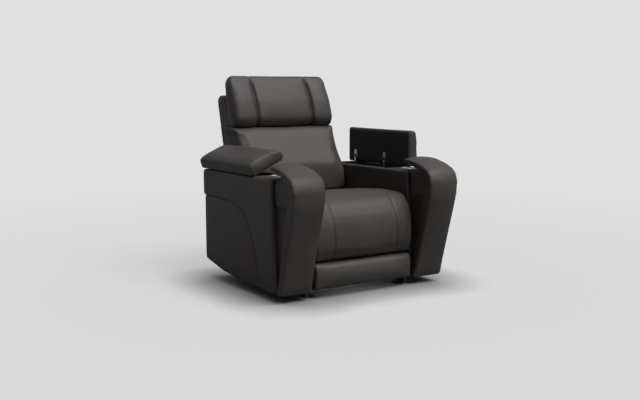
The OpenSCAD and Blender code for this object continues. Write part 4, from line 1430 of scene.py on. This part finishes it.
    def finish(self, wardrobe: Wardrobe) -> None:
        """Cuts the pockets, mirrors the arm and puts each piece on its body.

        Args:
            wardrobe: The finishes.
        """
        for piece in self.made.values():
            finish_with(piece, "SUBSURF", levels=1, render_levels=1)
        self.swell(self.made["box"], 0.005, 0.020)
        self.swell(self.made["panel"], 0.003, 0.020)
        uneven(self.made["box"], 0.0016, 0.14)
        uneven(self.made["band"], 0.0020, 0.10)
        self.pockets(self.made["box"])
        self.lid_pockets(self.made["lid"])
        for piece in self.made.values():
            press(piece)
        nodes = ("arm_shell", "side_panel", "front_band", "gusset", "lid_pad")
        for (name, right), node in zip(self.made.items(), nodes):
            left = mirrored(right, right.name.replace("right", "left"))
            for side, piece in ((Side.RIGHT, right), (Side.LEFT, left)):
                body = "base"
                if name == "lid":
                    body = f"lid_{side.word}"
                    pivot = (side.value * self.hinge[0], 0.0, self.hinge[1])
                    turned(piece, pivot, side.value * self.opened[side])
                wardrobe.dress(piece, "leather", body, f"{node}_{side.word}")
        self.patches(wardrobe)
        self.rims(wardrobe)

    def rims(self, wardrobe: Wardrobe) -> None:
        """Rolls the bright rims of the cup holders.

        Args:
            wardrobe: The finishes.
        """
        for side in Side:
            low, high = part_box(f"cup_holder_{side.word}")
            centre = ((low.x + high.x) / 2, (low.y + high.y) / 2)
            radius = (high.x - low.x) / 2 - 0.0024
            ring = [(*point, high.z + 0.0002) for point in turn(centre, radius, 0, 354, 59)]
            wardrobe.dress(hoop(f"cup_rim_{side.word}", ring, 0.0015), "stainless", "base")

    def patches(self, wardrobe: Wardrobe) -> None:
        """Adds the padded patches on both faces of each gusset.

        Args:
            wardrobe: The finishes.
        """
        outside = self.patch("patch_outer_right", self.outer - 0.032, self.outer - 0.010)
        inside = self.patch("patch_inner_right", self.inner + 0.010, self.inner + 0.032)
        for piece in (outside, inside):
            press(piece)
            copy = mirrored(piece, piece.name.replace("right", "left"))
            for made in (piece, copy):
                wardrobe.dress(made, "leather", "base")

    def pockets(self, piece: Piece) -> None:
        """Cuts the openings for the bin and the cup holder.

        Args:
            piece: The arm's cover.
        """
        low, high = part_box("storage_bin_right")
        lip = 0.002
        opening = rectangle(low.x + lip, low.y + lip, high.x - lip, high.y - lip)
        carve(piece, prism("bin_pocket", opening, low.z - 0.001, ABOVE_ARM, Along.Z))
        low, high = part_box("cup_holder_right")
        centre = ((low.x + high.x) / 2, (low.y + high.y) / 2)
        bore = turn(centre, self.cup_radius, 0, 357, 60)
        carve(piece, prism("cup_pocket", bore, low.z - 0.001, ABOVE_ARM, Along.Z))

    def lid_pockets(self, piece: Piece) -> None:
        """Cuts the recess for the lid's board and its hinges.

        Args:
            piece: The lid's cover, closed.
        """
        left, low, right, high = self.lid_plate
        rim = self.lid_rim
        board = rectangle(left + rim, low + rim, right - rim, high - rim)
        carve(piece, prism("board_pocket", board, self.lid_low - 0.01, self.lid_low + 0.0092, Along.Z))
        for y in self.hinge_ys:
            room = rectangle(0.458, y - 0.0135, 0.494, y + 0.0135)
            carve(piece, prism("hinge_pocket", room, self.lid_low - 0.02, 0.617, Along.Z))


# Stage


@dataclass
class Studio:
    """The camera, the lamps, the floor and the world."""

    eye: tuple[float, float, float] = (-2.5722, -3.8969, 1.0141)
    ahead: tuple[float, float, float] = (0.54467, 0.82928, -0.12502)
    lens: float = 49.9

    def camera(self) -> None:
        """Places the camera as the photograph was taken."""
        data = bpy.data.cameras.new("camera")
        data.lens = self.lens
        data.sensor_width = 36.0
        camera = bpy.data.objects.new("camera", data)
        camera.location = self.eye
        camera.rotation_euler = Vector(self.ahead).to_track_quat("-Z", "Y").to_euler()
        bpy.context.collection.objects.link(camera)
        bpy.context.scene.camera = camera

    def sun(self, name: str, towards: Sequence[float], spread: float, power: float) -> None:
        """Adds a wide soft light that is the same all over the floor.

        Args:
            name: Name of the light.
            towards: Direction from the seat to the light.
            spread: Width of the light in degrees.
            power: Power in watts for each square metre.
        """
        data = bpy.data.lights.new(name, "SUN")
        data.angle = math.radians(spread)
        data.energy = power
        lamp = bpy.data.objects.new(name, data)
        lamp.location = Vector(towards) * 3
        lamp.rotation_euler = (-Vector(towards)).to_track_quat("-Z", "Y").to_euler()
        bpy.context.collection.objects.link(lamp)

    def floor(self) -> None:
        """Lays the pale floor, whose glow is darkened under and around the seat as painted contact shade."""
        deselect()
        bpy.ops.mesh.primitive_plane_add(size=40.0, location=(0, 0, 0))
        plane = bpy.context.object
        plane.name = "floor"
        material = bpy.data.materials.new("pale_floor")
        material.use_nodes = True
        weave = Weave(material)
        shader = weave.tree.nodes["Principled BSDF"]
        seen = weave.add("LightPath", {}, "Is Camera Ray")
        tone = weave.spread(seen, 0.20, 0.66, 0.0, 1.0)
        weave.feed(shader, {"Base Color": tone, "Roughness": 0.9, "Specular IOR Level": 0.1})
        reach = weave.add("VectorMath", {0: weave.place}, "Value", operation="LENGTH")
        far = weave.spread(reach, 0.0, 1.0, 1.2, 5.0)
        # Painted shade: ambient occlusion darkens the floor's glow under and around the seat.
        painted_contact_shade = weave.sum("POWER", weave.add("AmbientOcclusion", {"Distance": 0.30}, "AO"), 2.6)
        level = weave.sum("MULTIPLY", painted_contact_shade, weave.spread(far, NEAR_FLOOR, PALE, 0.0, 1.0))
        # This glow carries the painted contact shade, so it is not even near the seat.
        even = weave.add("Emission", {"Strength": level}, "Emission")
        share = weave.sum("MULTIPLY", weave.spread(far, 0.72, 1.0, 0.0, 1.0), seen)
        weave.show(share, shader.outputs["BSDF"], even, "Material Output")
        plane.data.materials.append(material)

    def world(self) -> None:
        """Sets the even light of the studio and its pale background."""
        world = bpy.data.worlds.new("studio")
        bpy.context.scene.world = world
        world.use_nodes = True
        weave = Weave(world)
        back = weave.tree.nodes["Background"]
        weave.feed(back, {"Color": (0.9, 0.9, 0.9, 1), "Strength": 0.11})
        pale = weave.add("Background", {"Color": (PALE, PALE, PALE, 1)}, "Background")
        glossy = weave.sum("MULTIPLY", weave.add("LightPath", {}, "Is Glossy Ray"), 0.35)
        share = weave.sum("MAXIMUM", weave.add("LightPath", {}, "Is Camera Ray"), glossy)
        weave.show(share, back.outputs["Background"], pale, "World Output")

    def build(self) -> None:
        """Sets up the whole stage."""
        bpy.context.scene.view_settings.view_transform = "Standard"
        self.camera()
        self.floor()
        self.world()
        self.sun("key_sun", (0.30, -0.62, 1.05), 40.0, 3.0)
        self.sun("top_sun", (0.12, 0.10, 1.0), 60.0, 0.4)


def main() -> None:
    """Builds the dressed seat."""
    logging.basicConfig(level=logging.INFO)
    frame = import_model()
    studio = Studio()
    studio.build()
    wardrobe = Wardrobe()
    wardrobe.dress_frame(frame)
    seat, back, arms = SeatPads(), BackPads(), Arms()
    fill(seat.start() + back.start() + arms.start())
    seat.finish(wardrobe)
    back.finish(wardrobe)
    arms.finish(wardrobe)


if __name__ == "__main__":
    main()
